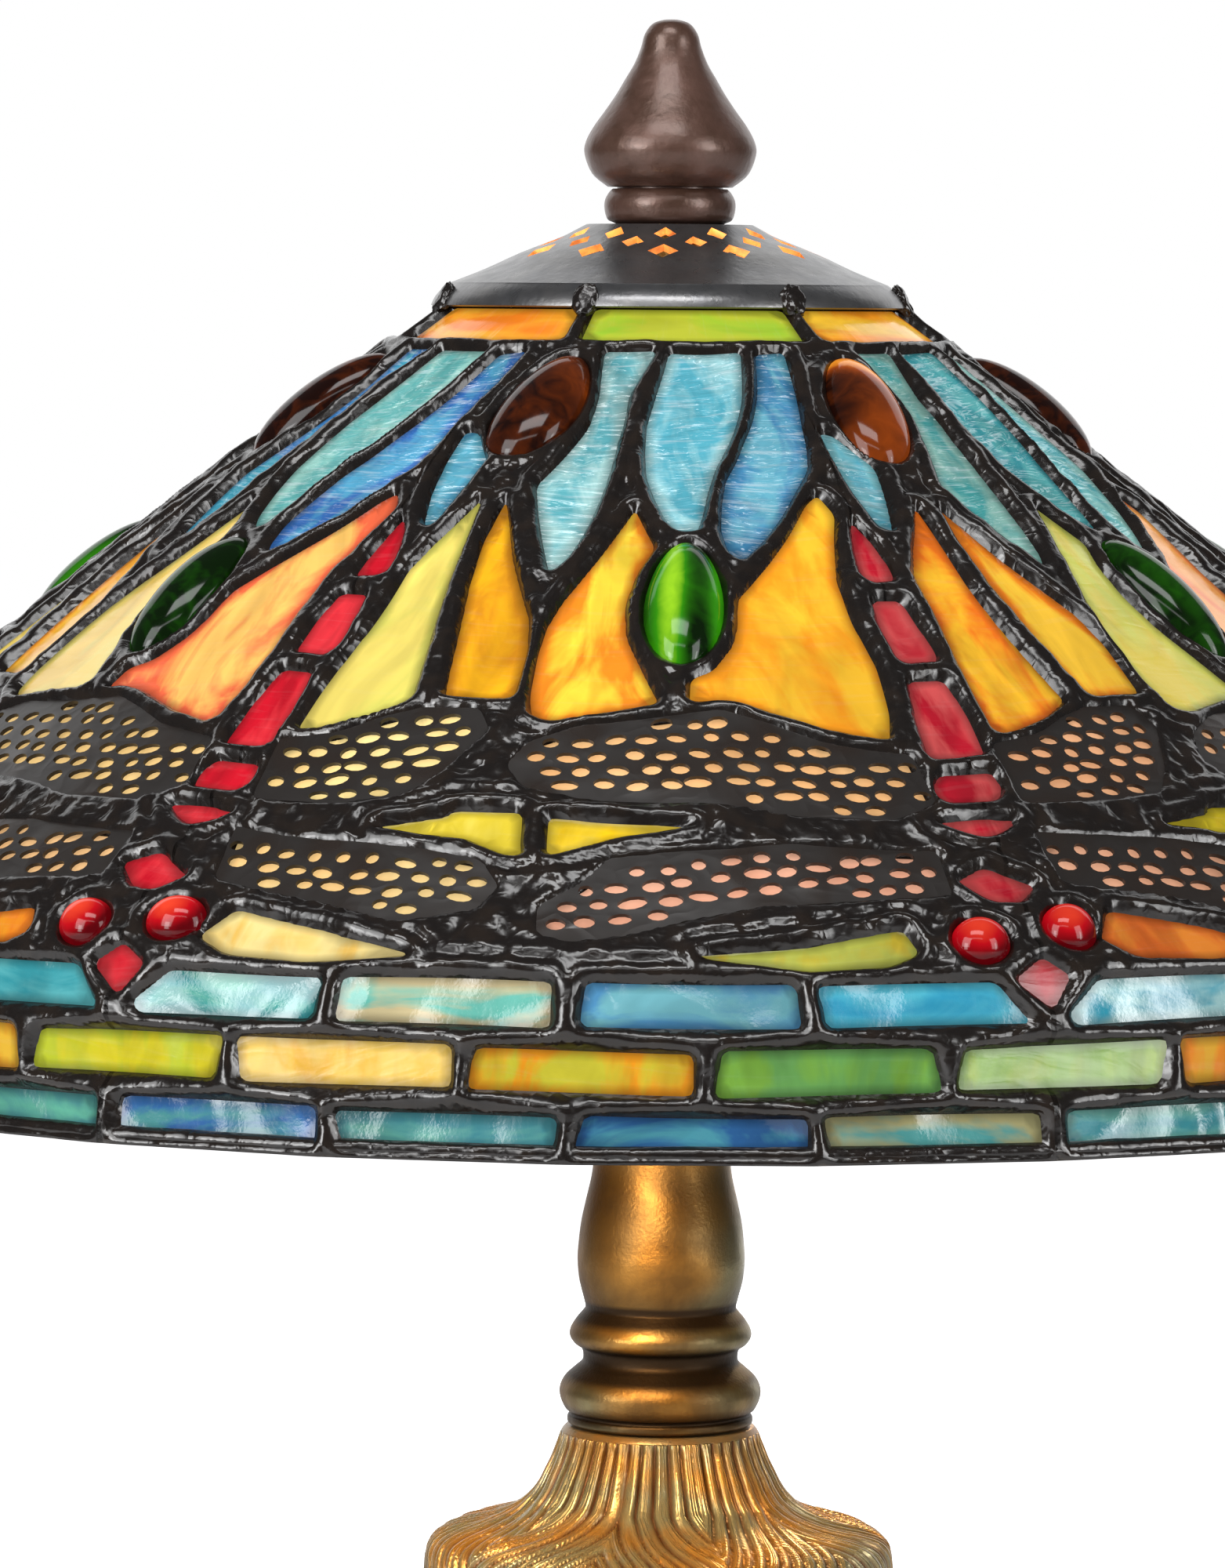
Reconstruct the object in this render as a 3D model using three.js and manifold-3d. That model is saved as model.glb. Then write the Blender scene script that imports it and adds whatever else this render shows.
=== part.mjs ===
// A stained glass dragonfly table lamp: a leaded glass shade on a cast baluster base, lit by two
// bulbs on a centre cluster. Millimetres, +Z up, origin at the centre of the felt under the foot.
// The shade repeats seven times round the axis. Azimuth 0 is the front, -Y, and grows towards +X.
import * as THREE from "three";
import { mergeVertices } from "three/addons/utils/BufferGeometryUtils.js";
import Module from "manifold-3d";

const wasm = await Module();
wasm.setup();

// Driving dimensions
const RIM_HEIGHT = 297; // shade rim above the table
const RIM_RADIUS = 152.4; // a 12 inch shade
const LIP_RADIUS = 37.1; // edge of the vented cap, where the glass starts to show
const LIP_RISE = 115.1; // that edge above the rim
const SECTORS = 7; // one dragonfly in each
const FACETS = 28; // the rim is four flat bricks to a sector
const FIRST_DRAGONFLY = 20.2; // azimuth of the first dragonfly's body, degrees
const GAP = 0.3; // between pieces that touch

// Thicknesses of the shade, inwards from the tops of the solder beads
const GLASS_TOP = 0.8;
const GLASS_BACK = 3.6;
const SOLDER_BACK = 4.4;
const BEAD_HALF = 2; // half the width of a solder line between two sectors
const SECTOR = 360 / SECTORS;
const JEWEL_ANGLE = 10.5; // from a dragonfly's body to the solder line above it

// Rows of glass down the slant, as distances from the cap's edge
const ROWS = {
  collar: [0.8, 6.8],
  petal: [9.2, 48.4],
  ray: [51.6, 92.2],
  wing: [95.4, 141.2],
  upperBorder: [143.6, 150.4],
  middleBorder: [153.0, 159.7],
  lowerBorder: [162.1, 167.4],
};
const TAIL_ROW = [51.6, 92.2];
const TAIL_HALF_ANGLE = 2.1;

// Light cluster
const HUB_HEIGHT = 318;
const HUB_RADIUS = 12;
const SOCKET_TILT = 10; // each socket's rise above level, degrees
const SOCKET_AZIMUTH = -17; // of the front socket
const SOCKET_START = 18;
const SOCKET_END = 55;
const SOCKET_RADIUS = 16.5;
const BULB_RADIUS = 21;
const BULB_CENTRE = 86;
const ROD_RADIUS = 4.76; // 3/8 inch lamp pipe
const ROD_TOP = RIM_HEIGHT + 145.5;

// Foot and stem
const FELT_THICKNESS = 1.8;
const FOOT_TOP = 64;
const BODY_TOP = 238.1;
const COLUMN_TOP = 297;
const BORE = ROD_RADIUS + 0.5;

const radians = THREE.MathUtils.degToRad;
const at = (x, y) => new THREE.Vector2(x, y);

const MATERIALS = {
  bronze: { color: 0x7a5526, roughness: 0.42, metalness: 0.85 },
  darkBronze: { color: 0x3f2f28, roughness: 0.45, metalness: 0.6 },
  cap: { color: 0x35373b, roughness: 0.4, metalness: 0.8 },
  solder: { color: 0x2b2724, roughness: 0.3, metalness: 0.7 },
  brass: { color: 0xb08d4a, roughness: 0.35, metalness: 0.95 },
  steel: { color: 0x8d8f92, roughness: 0.4, metalness: 0.95 },
  iron: { color: 0x4a4a4c, roughness: 0.7, metalness: 0.6 },
  felt: { color: 0x3a2f26, roughness: 0.95, metalness: 0 },
  plastic: { color: 0x1c1a19, roughness: 0.5, metalness: 0 },
  bulb: { color: 0xf4eddc, roughness: 0.3, metalness: 0 },
  greenGlass: { color: 0xa9b83c, roughness: 0.15, metalness: 0 },
  blueGlass: { color: 0x5fb0bd, roughness: 0.2, metalness: 0 },
  amberGlass: { color: 0xf0a928, roughness: 0.15, metalness: 0 },
  redGlass: { color: 0xb8202c, roughness: 0.15, metalness: 0 },
  wingGlass: { color: 0x6b4a36, roughness: 0.35, metalness: 0.2 },
};
for (const key of Object.keys(MATERIALS)) {
  MATERIALS[key] = new THREE.MeshStandardMaterial(MATERIALS[key]);
}

const lamp = new THREE.Group();

function add(name, geometry, material) {
  const mesh = new THREE.Mesh(geometry, MATERIALS[material]);
  mesh.name = name;
  lamp.add(mesh);
  return mesh;
}

// Solids for cutting and joining
function toSolid(geometry) {
  const bare = geometry.clone();
  bare.deleteAttribute("normal");
  bare.deleteAttribute("uv");
  const merged = mergeVertices(bare, 1e-3);
  return new wasm.Manifold(
    new wasm.Mesh({
      numProp: 3,
      vertProperties: merged.attributes.position.array,
      triVerts: new Uint32Array(merged.index.array),
    }),
  );
}

function toGeometry(solid) {
  const mesh = solid.getMesh();
  return new THREE.BufferGeometry()
    .setAttribute("position", new THREE.BufferAttribute(mesh.vertProperties, 3))
    .setIndex(new THREE.BufferAttribute(mesh.triVerts, 1));
}

// A turned shape about Z. A ring's profile closes on itself, a solid's starts and ends on the axis.
function turned(profile, segments, start = 0) {
  return new THREE.LatheGeometry(profile, segments, start).rotateX(Math.PI / 2);
}

// A turned shape with a straight bore up its middle: the outline runs up the outside.
function bored(outline, bore, segments) {
  const first = outline[0];
  const last = outline[outline.length - 1];
  return turned([at(bore, first.y), ...outline, at(bore, last.y), at(bore, first.y)], segments);
}

function tube(outer, inner, low, high, segments) {
  return bored([at(outer, low), at(outer, high)], inner, segments);
}

// A hexagonal nut with a round bore.
function hexNut(radius, low, high) {
  const prism = toSolid(turned([at(0, low), at(radius, low), at(radius, high), at(0, high)], 6));
  const hole = [at(0, low - 1), at(BORE, low - 1), at(BORE, high + 1), at(0, high + 1)];
  const bore = toSolid(turned(hole, 16));
  return toGeometry(prism.subtract(bore));
}

function spline(points, divisions) {
  return new THREE.SplineCurve(points.map(([x, y]) => at(x, y))).getPoints(divisions);
}

// The shade's form: a shallow dome, a tight bend, and a near upright apron.
const LIP = at(LIP_RADIUS, LIP_RISE);
const BEND_START = at(145, 29.5);
const APRON_TOP = at(150.8, 17);
const form = new THREE.CurvePath();
form.add(new THREE.QuadraticBezierCurve(LIP, at(89, 77.9), BEND_START));
form.add(new THREE.QuadraticBezierCurve(BEND_START, at(149.6, 25.7), APRON_TOP));
form.add(new THREE.LineCurve(APRON_TOP, at(RIM_RADIUS, 0)));
const SLANT = form.getLength();
const HIDDEN_SLANT = -2.4; // the shade's top edge, under the cap

// Point on the form at a slant distance, moved inwards by depth, with z above the table.
function onForm(slant, depth) {
  const along = Math.max(slant, 0) / SLANT;
  const point = form.getPointAt(Math.min(along, 1));
  const tangent = form.getTangentAt(Math.min(along, 1));
  const beyond = Math.min(slant, 0);
  return at(
    point.x + tangent.x * beyond + tangent.y * depth,
    RIM_HEIGHT + point.y + tangent.y * beyond - tangent.x * depth,
  );
}

// A ring of the shade through a run of slants, between two depths, flat-faceted like the bricks
// of the rim.
function band(slants, outer, inner) {
  const outside = slants.map((slant) => onForm(slant, outer));
  const inside = slants.map((slant) => onForm(slant, inner));
  const profile = [...outside.reverse(), ...inside, outside[0]];
  return turned(profile, FACETS, radians(FIRST_DRAGONFLY));
}

// A wedge about Z that keeps the azimuths within half of the middle one, less a parallel inset.
function wedge(middle, half, inset) {
  const reach = 400;
  const apex = inset / Math.sin(radians(half));
  const corner = (angle, radius) =>
    at(Math.sin(radians(angle)) * radius, -Math.cos(radians(angle)) * radius);
  const tip = corner(middle, apex);
  const shape = new THREE.Shape([
    tip,
    tip.clone().add(corner(middle - half, reach)),
    tip.clone().add(corner(middle + half, reach)),
  ]);
  return toSolid(new THREE.ExtrudeGeometry(shape, { depth: 600, bevelEnabled: false }));
}

const shrunk = ([from, to]) => [from + GAP, to - GAP];

// The families of glass that repeat with the dragonflies: each piece's middle azimuth from its
// dragonfly, its half angle, and the width of solder beside it.
const FAMILIES = [
  { name: "petal_glass", row: ROWS.petal, middle: JEWEL_ANGLE + SECTOR / 2, half: SECTOR / 2,
    inset: BEAD_HALF, material: "blueGlass" },
  { name: "ray_glass", row: ROWS.ray, middle: SECTOR / 2, half: SECTOR / 2 - TAIL_HALF_ANGLE,
    inset: BEAD_HALF, material: "amberGlass" },
  { name: "tail_glass", row: TAIL_ROW, middle: 0, half: TAIL_HALF_ANGLE, inset: 0,
    material: "redGlass" },
  { name: "wing_panel", row: ROWS.wing, middle: SECTOR / 2, half: SECTOR / 2, inset: BEAD_HALF,
    material: "wingGlass" },
];
const BORDERS = [
  { name: "collar_glass", row: ROWS.collar, material: "greenGlass" },
  { name: "upper_border_glass", row: ROWS.upperBorder, material: "blueGlass" },
  { name: "middle_border_glass", row: ROWS.middleBorder, material: "greenGlass" },
  { name: "lower_border_glass", row: ROWS.lowerBorder, material: "blueGlass" },
];

function shade() {
  const through = 3; // how far a window's cutter passes each face
  const edges = Object.values(ROWS).flat();
  let lattice = toSolid(band([HIDDEN_SLANT, ...edges.slice(0, -1), SLANT - 1.8], 0, SOLDER_BACK));
  for (const { name, row, middle, half, inset, material } of FAMILIES) {
    const cutter = toSolid(band(row, -through, SOLDER_BACK + through));
    const glass = toSolid(band(shrunk(row), GLASS_TOP, GLASS_BACK));
    for (let i = 0; i < SECTORS; i++) {
      const azimuth = FIRST_DRAGONFLY + middle + i * SECTOR;
      lattice = lattice.subtract(cutter.intersect(wedge(azimuth, half, inset)));
      const piece = glass.intersect(wedge(azimuth, half, inset + GAP));
      add(`${name}_${i + 1}`, toGeometry(piece), material);
    }
  }
  for (const { name, row, material } of BORDERS) {
    // A border row sits in a groove, and the solder behind it carries on.
    lattice = lattice.subtract(toSolid(band(row, -through, GLASS_BACK)));
    add(name, band(shrunk(row), GLASS_TOP, GLASS_BACK - GAP), material);
  }
  add("solder_lattice", toGeometry(lattice), "solder");
  add("rim_ring", band([SLANT - 1.8 + GAP, SLANT], 0, SOLDER_BACK), "solder");
}

// Caps, rod and finial that clamp the shade
const CAP_TOP = RIM_HEIGHT + 128.7;
const CAP_FLAT_RADIUS = 12.9;
const CAP_SHOULDER_RADIUS = 34.1;
const CAP_SHOULDER = RIM_HEIGHT + 119.4;
const CAP_WALL = 0.9;
const VENTS_PER_ROW = 12;
const VENT_ROWS = [
  { radius: 15.8, width: 3.0, length: 3.8, turn: 0 },
  { radius: 18.6, width: 3.2, length: 3.8, turn: 0.5 },
  { radius: 22.0, width: 4.1, length: 4.8, turn: 0 },
];

function ventedCap() {
  const rise = RIM_HEIGHT + LIP_RISE + 1.1;
  const outside = [
    at(BORE, CAP_TOP),
    at(CAP_FLAT_RADIUS, CAP_TOP - 0.2),
    at(CAP_SHOULDER_RADIUS, CAP_SHOULDER),
    at(36.3, CAP_SHOULDER - 1.8),
    at(LIP_RADIUS, rise),
  ];
  const inside = [
    at(LIP_RADIUS - CAP_WALL, rise),
    at(CAP_SHOULDER_RADIUS - 0.6, CAP_SHOULDER - CAP_WALL),
    at(CAP_FLAT_RADIUS - 0.3, CAP_TOP - CAP_WALL - 0.2),
    at(BORE, CAP_TOP - CAP_WALL),
  ];
  let cap = toSolid(turned([...outside, ...inside, outside[0]].reverse(), 24));
  for (const { radius, width, length, turn } of VENT_ROWS) {
    for (let i = 0; i < VENTS_PER_ROW; i++) {
      const angle = ((i + turn) * 2 * Math.PI) / VENTS_PER_ROW;
      const vent = new THREE.CylinderGeometry(0.5, 0.5, 24, 4);
      vent.rotateX(Math.PI / 2).scale(length, width, 1);
      vent.translate(radius, 0, CAP_TOP).rotateZ(angle);
      cap = cap.subtract(toSolid(vent));
    }
  }
  add("vented_cap", toGeometry(cap), "cap");
}

function innerCap() {
  const top = RIM_HEIGHT + 108.6;
  const wall = 1.2;
  const edge = 5;
  const profile = [
    at(BORE, top), at(14, top), at(30, top - edge), at(30, top - edge - wall),
    at(14, top - wall), at(BORE, top - wall), at(BORE, top),
  ];
  add("inner_cap", turned(profile.reverse(), 28), "cap");
  add("seat_nut", hexNut(8, top - wall - GAP - 5, top - wall - GAP), "brass");
}

function finial() {
  const low = CAP_TOP + GAP;
  const seam = RIM_HEIGHT + 134.5;
  const ring = [at(9.2, low), at(10.1, low + 2.2), at(9.9, low + 4.2), at(9.0, seam - GAP)];
  add("finial_collar", bored(ring, BORE, 20), "darkBronze");
  const spire = spline(
    [[9.4, 0], [12.2, 2.0], [13.35, 5.2], [12.3, 8.6], [9.6, 13.0], [6.6, 18.0], [4.6, 22.2],
      [3.3, 24.8], [1.6, 25.7], [0, 25.8]],
    14,
  );
  const boreDepth = 12;
  const outline = [at(0, boreDepth), at(BORE, boreDepth), at(BORE, 0), ...spire];
  add("finial", turned(outline, 20), "darkBronze").position.z = seam;
}

// Pipe, cluster, sockets and bulbs. A socket's group has +Z along its axis.
function pipework() {
  const low = 12;
  const hubHalf = 12;
  const lower = HUB_HEIGHT - hubHalf;
  const upper = HUB_HEIGHT + hubHalf;
  add("lamp_pipe", tube(ROD_RADIUS, 3.4, low, lower - GAP, 12), "steel");
  const rod = [at(0, upper + GAP), at(ROD_RADIUS, upper + GAP), at(ROD_RADIUS, ROD_TOP),
    at(0, ROD_TOP)];
  add("shade_rod", turned(rod, 12), "brass");
  const hub = [at(0, lower), at(HUB_RADIUS - 3, lower), at(HUB_RADIUS, lower + 4),
    at(HUB_RADIUS, upper - 4), at(HUB_RADIUS - 3, upper), at(0, upper)];
  add("cluster_hub", turned(hub, 20), "brass");
  add("stem_washer", tube(11, BORE, COLUMN_TOP + GAP, COLUMN_TOP + 3, 20), "brass");
}

function socketAxis(azimuth) {
  const group = new THREE.Group();
  const direction = new THREE.Vector3(
    Math.sin(radians(azimuth)) * Math.cos(radians(SOCKET_TILT)),
    -Math.cos(radians(azimuth)) * Math.cos(radians(SOCKET_TILT)),
    Math.sin(radians(SOCKET_TILT)),
  );
  const side = new THREE.Vector3(Math.cos(radians(azimuth)), Math.sin(radians(azimuth)), 0);
  const basis = new THREE.Matrix4().makeBasis(side, direction.clone().cross(side), direction);
  group.quaternion.setFromRotationMatrix(basis);
  group.position.z = HUB_HEIGHT;
  lamp.add(group);
  return group;
}

function lightPoint(label, azimuth) {
  const axis = socketAxis(azimuth);
  const place = (name, geometry, material) => axis.add(add(`${label}_${name}`, geometry, material));
  const start = HUB_RADIUS + 1.2;
  const neck = 22;
  const capLength = 26;
  place("socket_nipple", turned([at(0, start), at(5, start), at(5, neck - GAP), at(0, neck - GAP)], 12),
    "brass");
  const mouth = 14.2; // radius inside the socket
  const floor = 34;
  const keyAt = 30;
  const keyHole = 2.6;
  const shell = [
    at(0, neck), at(8, neck), at(SOCKET_RADIUS - 3, neck + 3), at(SOCKET_RADIUS, capLength + 3),
    at(SOCKET_RADIUS, SOCKET_END), at(mouth, SOCKET_END), at(mouth, floor), at(0, floor),
  ];
  const hole = new THREE.CylinderGeometry(keyHole, keyHole, 20, 12);
  hole.rotateZ(Math.PI / 2).translate(SOCKET_RADIUS, 0, keyAt);
  place("socket", toGeometry(toSolid(turned(shell, 20)).subtract(toSolid(hole))), "brass");

  // The turn key: a round shaft in the hole, with a flat paddle outside.
  const shaftStart = SOCKET_RADIUS - 5;
  const shaftEnd = SOCKET_RADIUS + 7;
  const shaft = new THREE.CylinderGeometry(1.9, 1.9, shaftEnd - shaftStart, 10);
  shaft.rotateZ(Math.PI / 2).translate((shaftStart + shaftEnd) / 2, 0, keyAt);
  const paddle = new THREE.CylinderGeometry(6.5, 6.5, 3, 16);
  paddle.rotateX(Math.PI).scale(1, 1, 0.75);
  paddle.translate(shaftEnd + 4, 0, keyAt);
  place("turn_key", toGeometry(toSolid(shaft).add(toSolid(paddle))), "plastic");

  // The bulb: a screw base in the socket and a round envelope outside it.
  const baseFrom = floor + 1;
  const baseTo = SOCKET_END + 3;
  const base = [at(0, baseFrom), at(4, baseFrom), at(9, baseFrom + 4), at(13, baseFrom + 5),
    at(13, baseTo), at(0, baseTo)];
  place("bulb_base", turned(base, 20), "brass");
  const throat = baseTo + GAP;
  const swell = new THREE.EllipseCurve(0, BULB_CENTRE, BULB_RADIUS, BULB_RADIUS, -0.75, Math.PI / 2);
  const envelope = [at(0, throat), at(12.5, throat), ...swell.getPoints(8)];
  envelope[envelope.length - 1].x = 0;
  place("bulb_glass", turned(envelope, 18), "bulb");
}

// Column, body and foot
function column() {
  const outline = [
    at(14.3, BODY_TOP + GAP), at(14.4, 239.8), at(15.0, 241.4), at(15.7, 243.4), at(15.5, 245.6),
    at(12.8, 248.0), at(12.0, 249.3), at(12.5, 250.6), at(14.1, 252.6), at(13.6, 254.6),
    at(12.0, 257.2), at(12.7, 260.2), at(13.1, 264.0), at(12.5, 271.0), at(11.0, 277.6),
    at(9.9, 285.0), at(9.6, COLUMN_TOP),
  ];
  add("column", bored(outline, BORE, 24), "bronze");
}

function body() {
  const wall = 4;
  const neck = spline(
    [[31.4, 222.2], [24.4, 224.4], [20.5, 227.0], [18.5, 230.0], [16.9, 233.8], [15.4, BODY_TOP]],
    2,
  );
  const urn = spline(
    [[17.6, 76.5], [16.4, 88], [17.6, 102], [23.2, 130], [30.2, 160], [35.6, 190], [36.9, 208],
      [36.4, 218.6]],
    10,
  );
  const outline = [
    at(18.4, FOOT_TOP + GAP), at(21.6, 66.6), at(22.6, 69.8), at(21.4, 73.2), ...urn,
    at(35.2, 220.7), ...neck,
  ];
  const inside = [at(17, 215), at(32 - wall, 205), at(26, 170), at(17, 130), at(9, 100)];
  const low = FOOT_TOP + GAP;
  const profile = [at(BORE, low), ...outline, at(BORE, BODY_TOP), at(BORE, 226), ...inside,
    at(BORE, 92), at(BORE, low)];
  add("baluster_body", turned(profile, 28), "bronze");
}

function foot() {
  const low = FELT_THICKNESS + GAP;
  const outline = spline(
    [[18.5, FOOT_TOP], [19.2, 54], [23.5, 40], [33, 28], [48, 20], [61, 15.6], [68.6, 11.6],
      [71.4, 6.8], [69.6, low]].reverse(),
    13,
  );
  const inside = [at(BORE, FOOT_TOP), at(BORE, 52), at(12, 46), at(24, 26), at(44, 16),
    at(63, 11), at(66, low)];
  const cast = toSolid(turned([...outline, ...inside, outline[0]], 28));
  // The outlet for the lead, at the back.
  const outletHeight = 7.4;
  const outlet = new THREE.CylinderGeometry(4.7, 4.7, 24, 16).translate(0, 66, outletHeight);
  add("cast_foot", toGeometry(cast.subtract(toSolid(outlet))), "bronze");

  const lead = 3.3; // radius of the bushing's bore
  const bush = [at(lead, 0), at(4.3, 0), at(4.3, 8), at(6.2, 8), at(6.2, 10), at(lead, 10),
    at(lead, 0)];
  const bushing = add("lead_bushing", turned(bush, 16), "plastic");
  bushing.rotation.x = -Math.PI / 2;
  bushing.position.set(0, 63.6, outletHeight);

  add("felt_pad", turned([at(0, 0), at(68, 0), at(68, FELT_THICKNESS), at(0, FELT_THICKNESS)], 36),
    "felt");
  add("ballast_plate", tube(56, 14, low, 9, 28), "iron");
  add("foot_nut", hexNut(9, 12.6, 18), "steel");
}

shade();
ventedCap();
innerCap();
finial();
pipework();
lightPoint("front", SOCKET_AZIMUTH);
lightPoint("back", SOCKET_AZIMUTH + 180);
column();
body();
foot();

export default lamp;
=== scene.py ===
"""A leaded glass dragonfly table lamp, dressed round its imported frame.

The shade is made as it is on a bench: cut panes, pierced metal wings and glass jewels are laid out
flat on a pattern that repeats seven times, bent to the shade's form and joined by a skin of solder.
A pattern point is (turn, slant): degrees round from a dragonfly's body, and millimetres down the
shade from the edge of its cap.
"""

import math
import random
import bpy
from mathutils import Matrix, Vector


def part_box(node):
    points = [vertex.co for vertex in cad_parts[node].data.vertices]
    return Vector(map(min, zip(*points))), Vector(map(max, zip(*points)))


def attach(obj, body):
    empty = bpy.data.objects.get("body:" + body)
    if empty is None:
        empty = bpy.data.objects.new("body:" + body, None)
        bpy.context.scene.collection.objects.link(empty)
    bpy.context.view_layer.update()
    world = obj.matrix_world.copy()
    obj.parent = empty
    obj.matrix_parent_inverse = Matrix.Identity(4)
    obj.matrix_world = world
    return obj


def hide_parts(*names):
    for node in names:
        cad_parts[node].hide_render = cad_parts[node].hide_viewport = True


bl_info = {
    "name": "Leaded Glass Dragonfly Lamp",
    "version": (1, 0, 0),
    "blender": (4, 5, 0),
    "location": "View3D > Sidebar > Dragonfly Lamp",
    "description": "Builds the panes, solder, jewels and castings of a dragonfly lamp on its frame",
    "category": "Add Mesh",
}

import bmesh
import bpy
import numpy as np
from mathutils import Matrix, Vector, noise

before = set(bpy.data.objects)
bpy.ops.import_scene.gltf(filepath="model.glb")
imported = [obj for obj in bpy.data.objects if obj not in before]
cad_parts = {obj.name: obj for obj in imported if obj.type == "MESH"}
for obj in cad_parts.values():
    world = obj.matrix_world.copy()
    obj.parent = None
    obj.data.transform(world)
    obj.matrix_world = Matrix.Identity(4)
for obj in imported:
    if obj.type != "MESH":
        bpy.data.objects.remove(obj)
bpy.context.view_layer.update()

MM = 0.001
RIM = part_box("column")[1].z  # the shade's lower edge is level with the column's top, metres
SECTORS = 7
SECTOR = 360 / SECTORS
FIRST_DRAGONFLY = 20.2  # azimuth of the first dragonfly, degrees right of the front
FACETS = 28  # flat bricks round the rim


def box_mm(node):
    """Lowest and highest corner of a CAD node in millimetres."""
    low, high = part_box(node)
    return low / MM, high / MM


# ---------------------------------------------------------------- settings


class ShadeSettings(bpy.types.PropertyGroup):
    """Sizes and colours of the leaded shade."""

    glass_depth: bpy.props.FloatProperty(
        name="Glass depth", description="Drop from the shade's form to the face of the glass, mm",
        default=0.9, min=0.2, max=2.0)
    glass_thickness: bpy.props.FloatProperty(
        name="Glass thickness", description="Thickness of the sheet glass, mm", default=2.6,
        min=1.0, max=4.0)
    bead_height: bpy.props.FloatProperty(
        name="Bead height", description="Rise of the solder above the face of the glass, mm",
        default=1.6, min=0.3, max=3.0)
    bead_half_width: bpy.props.FloatProperty(
        name="Bead half width", description="Half the width of a full solder bead, mm",
        default=1.7, min=0.5, max=3.0)
    solder_colour: bpy.props.FloatVectorProperty(
        name="Solder", description="Colour of the waxed dark patina on the solder",
        subtype="COLOR", size=3, min=0, max=1, default=(0.0060, 0.0042, 0.0034))
    wing_colour: bpy.props.FloatVectorProperty(
        name="Wing metal", description="Colour of the pierced wings", subtype="COLOR", size=3,
        min=0, max=1, default=(0.0080, 0.0055, 0.0042))
    cap_colour: bpy.props.FloatVectorProperty(
        name="Cap", description="Colour of the vented cap", subtype="COLOR", size=3, min=0, max=1,
        default=(0.15, 0.15, 0.155))
    finial_colour: bpy.props.FloatVectorProperty(
        name="Finial", description="Colour of the finial's dark bronze", subtype="COLOR", size=3,
        min=0, max=1, default=(0.066, 0.032, 0.020))


class LightSettings(bpy.types.PropertyGroup):
    """The lamp's own light."""

    glow: bpy.props.FloatProperty(
        name="Glow", description="Brightness of the glass beside a bulb", default=0.98, min=0,
        max=4)
    reach: bpy.props.FloatProperty(
        name="Reach", description="Distance from a bulb at which the glow has halved, mm",
        default=95, min=10, max=400)
    bulb_colour: bpy.props.FloatVectorProperty(
        name="Bulb", description="Colour of the lit bulbs", subtype="COLOR", size=3, min=0, max=1,
        default=(1.0, 0.72, 0.38))
    bulb_strength: bpy.props.FloatProperty(
        name="Bulb strength", description="Emission strength of the bulbs", default=1.5, min=0,
        max=100)


class BaseSettings(bpy.types.PropertyGroup):
    """Finish of the turned and cast base."""

    gold: bpy.props.FloatVectorProperty(
        name="Rubbed bronze", description="Colour where the patina is rubbed away",
        subtype="COLOR", size=3, min=0, max=1, default=(0.40, 0.195, 0.036))
    olive: bpy.props.FloatVectorProperty(
        name="Green bronze", description="Colour of the greener patches", subtype="COLOR",
        size=3, min=0, max=1, default=(0.25, 0.215, 0.11))
    patina: bpy.props.FloatVectorProperty(
        name="Patina", description="Colour of the dark patina", subtype="COLOR", size=3, min=0,
        max=1, default=(0.060, 0.032, 0.012))
    crevice: bpy.props.FloatVectorProperty(
        name="Crevices", description="Colour of the red-brown wash in the bark's furrows",
        subtype="COLOR", size=3, min=0, max=1, default=(0.10, 0.032, 0.007))
    furrow_depth: bpy.props.FloatProperty(
        name="Furrow depth", description="Depth of the bark's furrows, mm", default=0.8, min=0,
        max=2.5)


class StageSettings(bpy.types.PropertyGroup):
    """Camera and studio light."""

    distance: bpy.props.FloatProperty(
        name="Camera distance", description="From the lamp's axis to the camera", default=1.134,
        min=0.3, max=5, unit="LENGTH")
    above_rim: bpy.props.FloatProperty(
        name="Camera above rim", description="Height of the camera over the shade's rim",
        default=0.117, min=-1, max=2, unit="LENGTH")
    lens: bpy.props.FloatProperty(
        name="Lens", description="Focal length of the camera, mm", default=167.4, min=20, max=400)
    aim_drop: bpy.props.FloatProperty(
        name="Aim", description="Height of the camera's aim over the shade's rim", default=0.0417,
        min=-1, max=1, unit="LENGTH")
    aim_side: bpy.props.FloatProperty(
        name="Aim to the side", description="The camera's aim left of the axis", default=0.0082,
        min=-0.2, max=0.2, unit="LENGTH")
    roll: bpy.props.FloatProperty(
        name="Roll", description="Lean of the lamp to the right", default=0.45, min=-5, max=5)
    key_power: bpy.props.FloatProperty(
        name="Key light", description="Power of the main soft light, W", default=22, min=0,
        max=200)
    fill_power: bpy.props.FloatProperty(
        name="Fill light", description="Power of the fill light, W", default=13, min=0, max=200)
    strip_power: bpy.props.FloatProperty(
        name="Strip light", description="Power of the low light at the left, W", default=9,
        min=0, max=200)
    front_power: bpy.props.FloatProperty(
        name="Front light", description="Power of the high strip in front, W", default=1.6,
        min=0, max=200)
    top_power: bpy.props.FloatProperty(
        name="Top light", description="Power of the light overhead, W", default=9, min=0,
        max=200)
    backdrop_power: bpy.props.FloatProperty(
        name="Backdrop", description="Power of the light from the backdrop, W", default=26,
        min=0, max=200)
    bulb_power: bpy.props.FloatProperty(
        name="Bulbs", description="Power that each bulb throws on the base, W", default=0.6,
        min=0, max=50)
    ambient: bpy.props.FloatProperty(
        name="Room light", description="Strength of the light all round", default=0.11, min=0,
        max=2)


def settings():
    return bpy.context.scene.dragonfly_lamp


# ---------------------------------------------------------------- the shade's form


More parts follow.
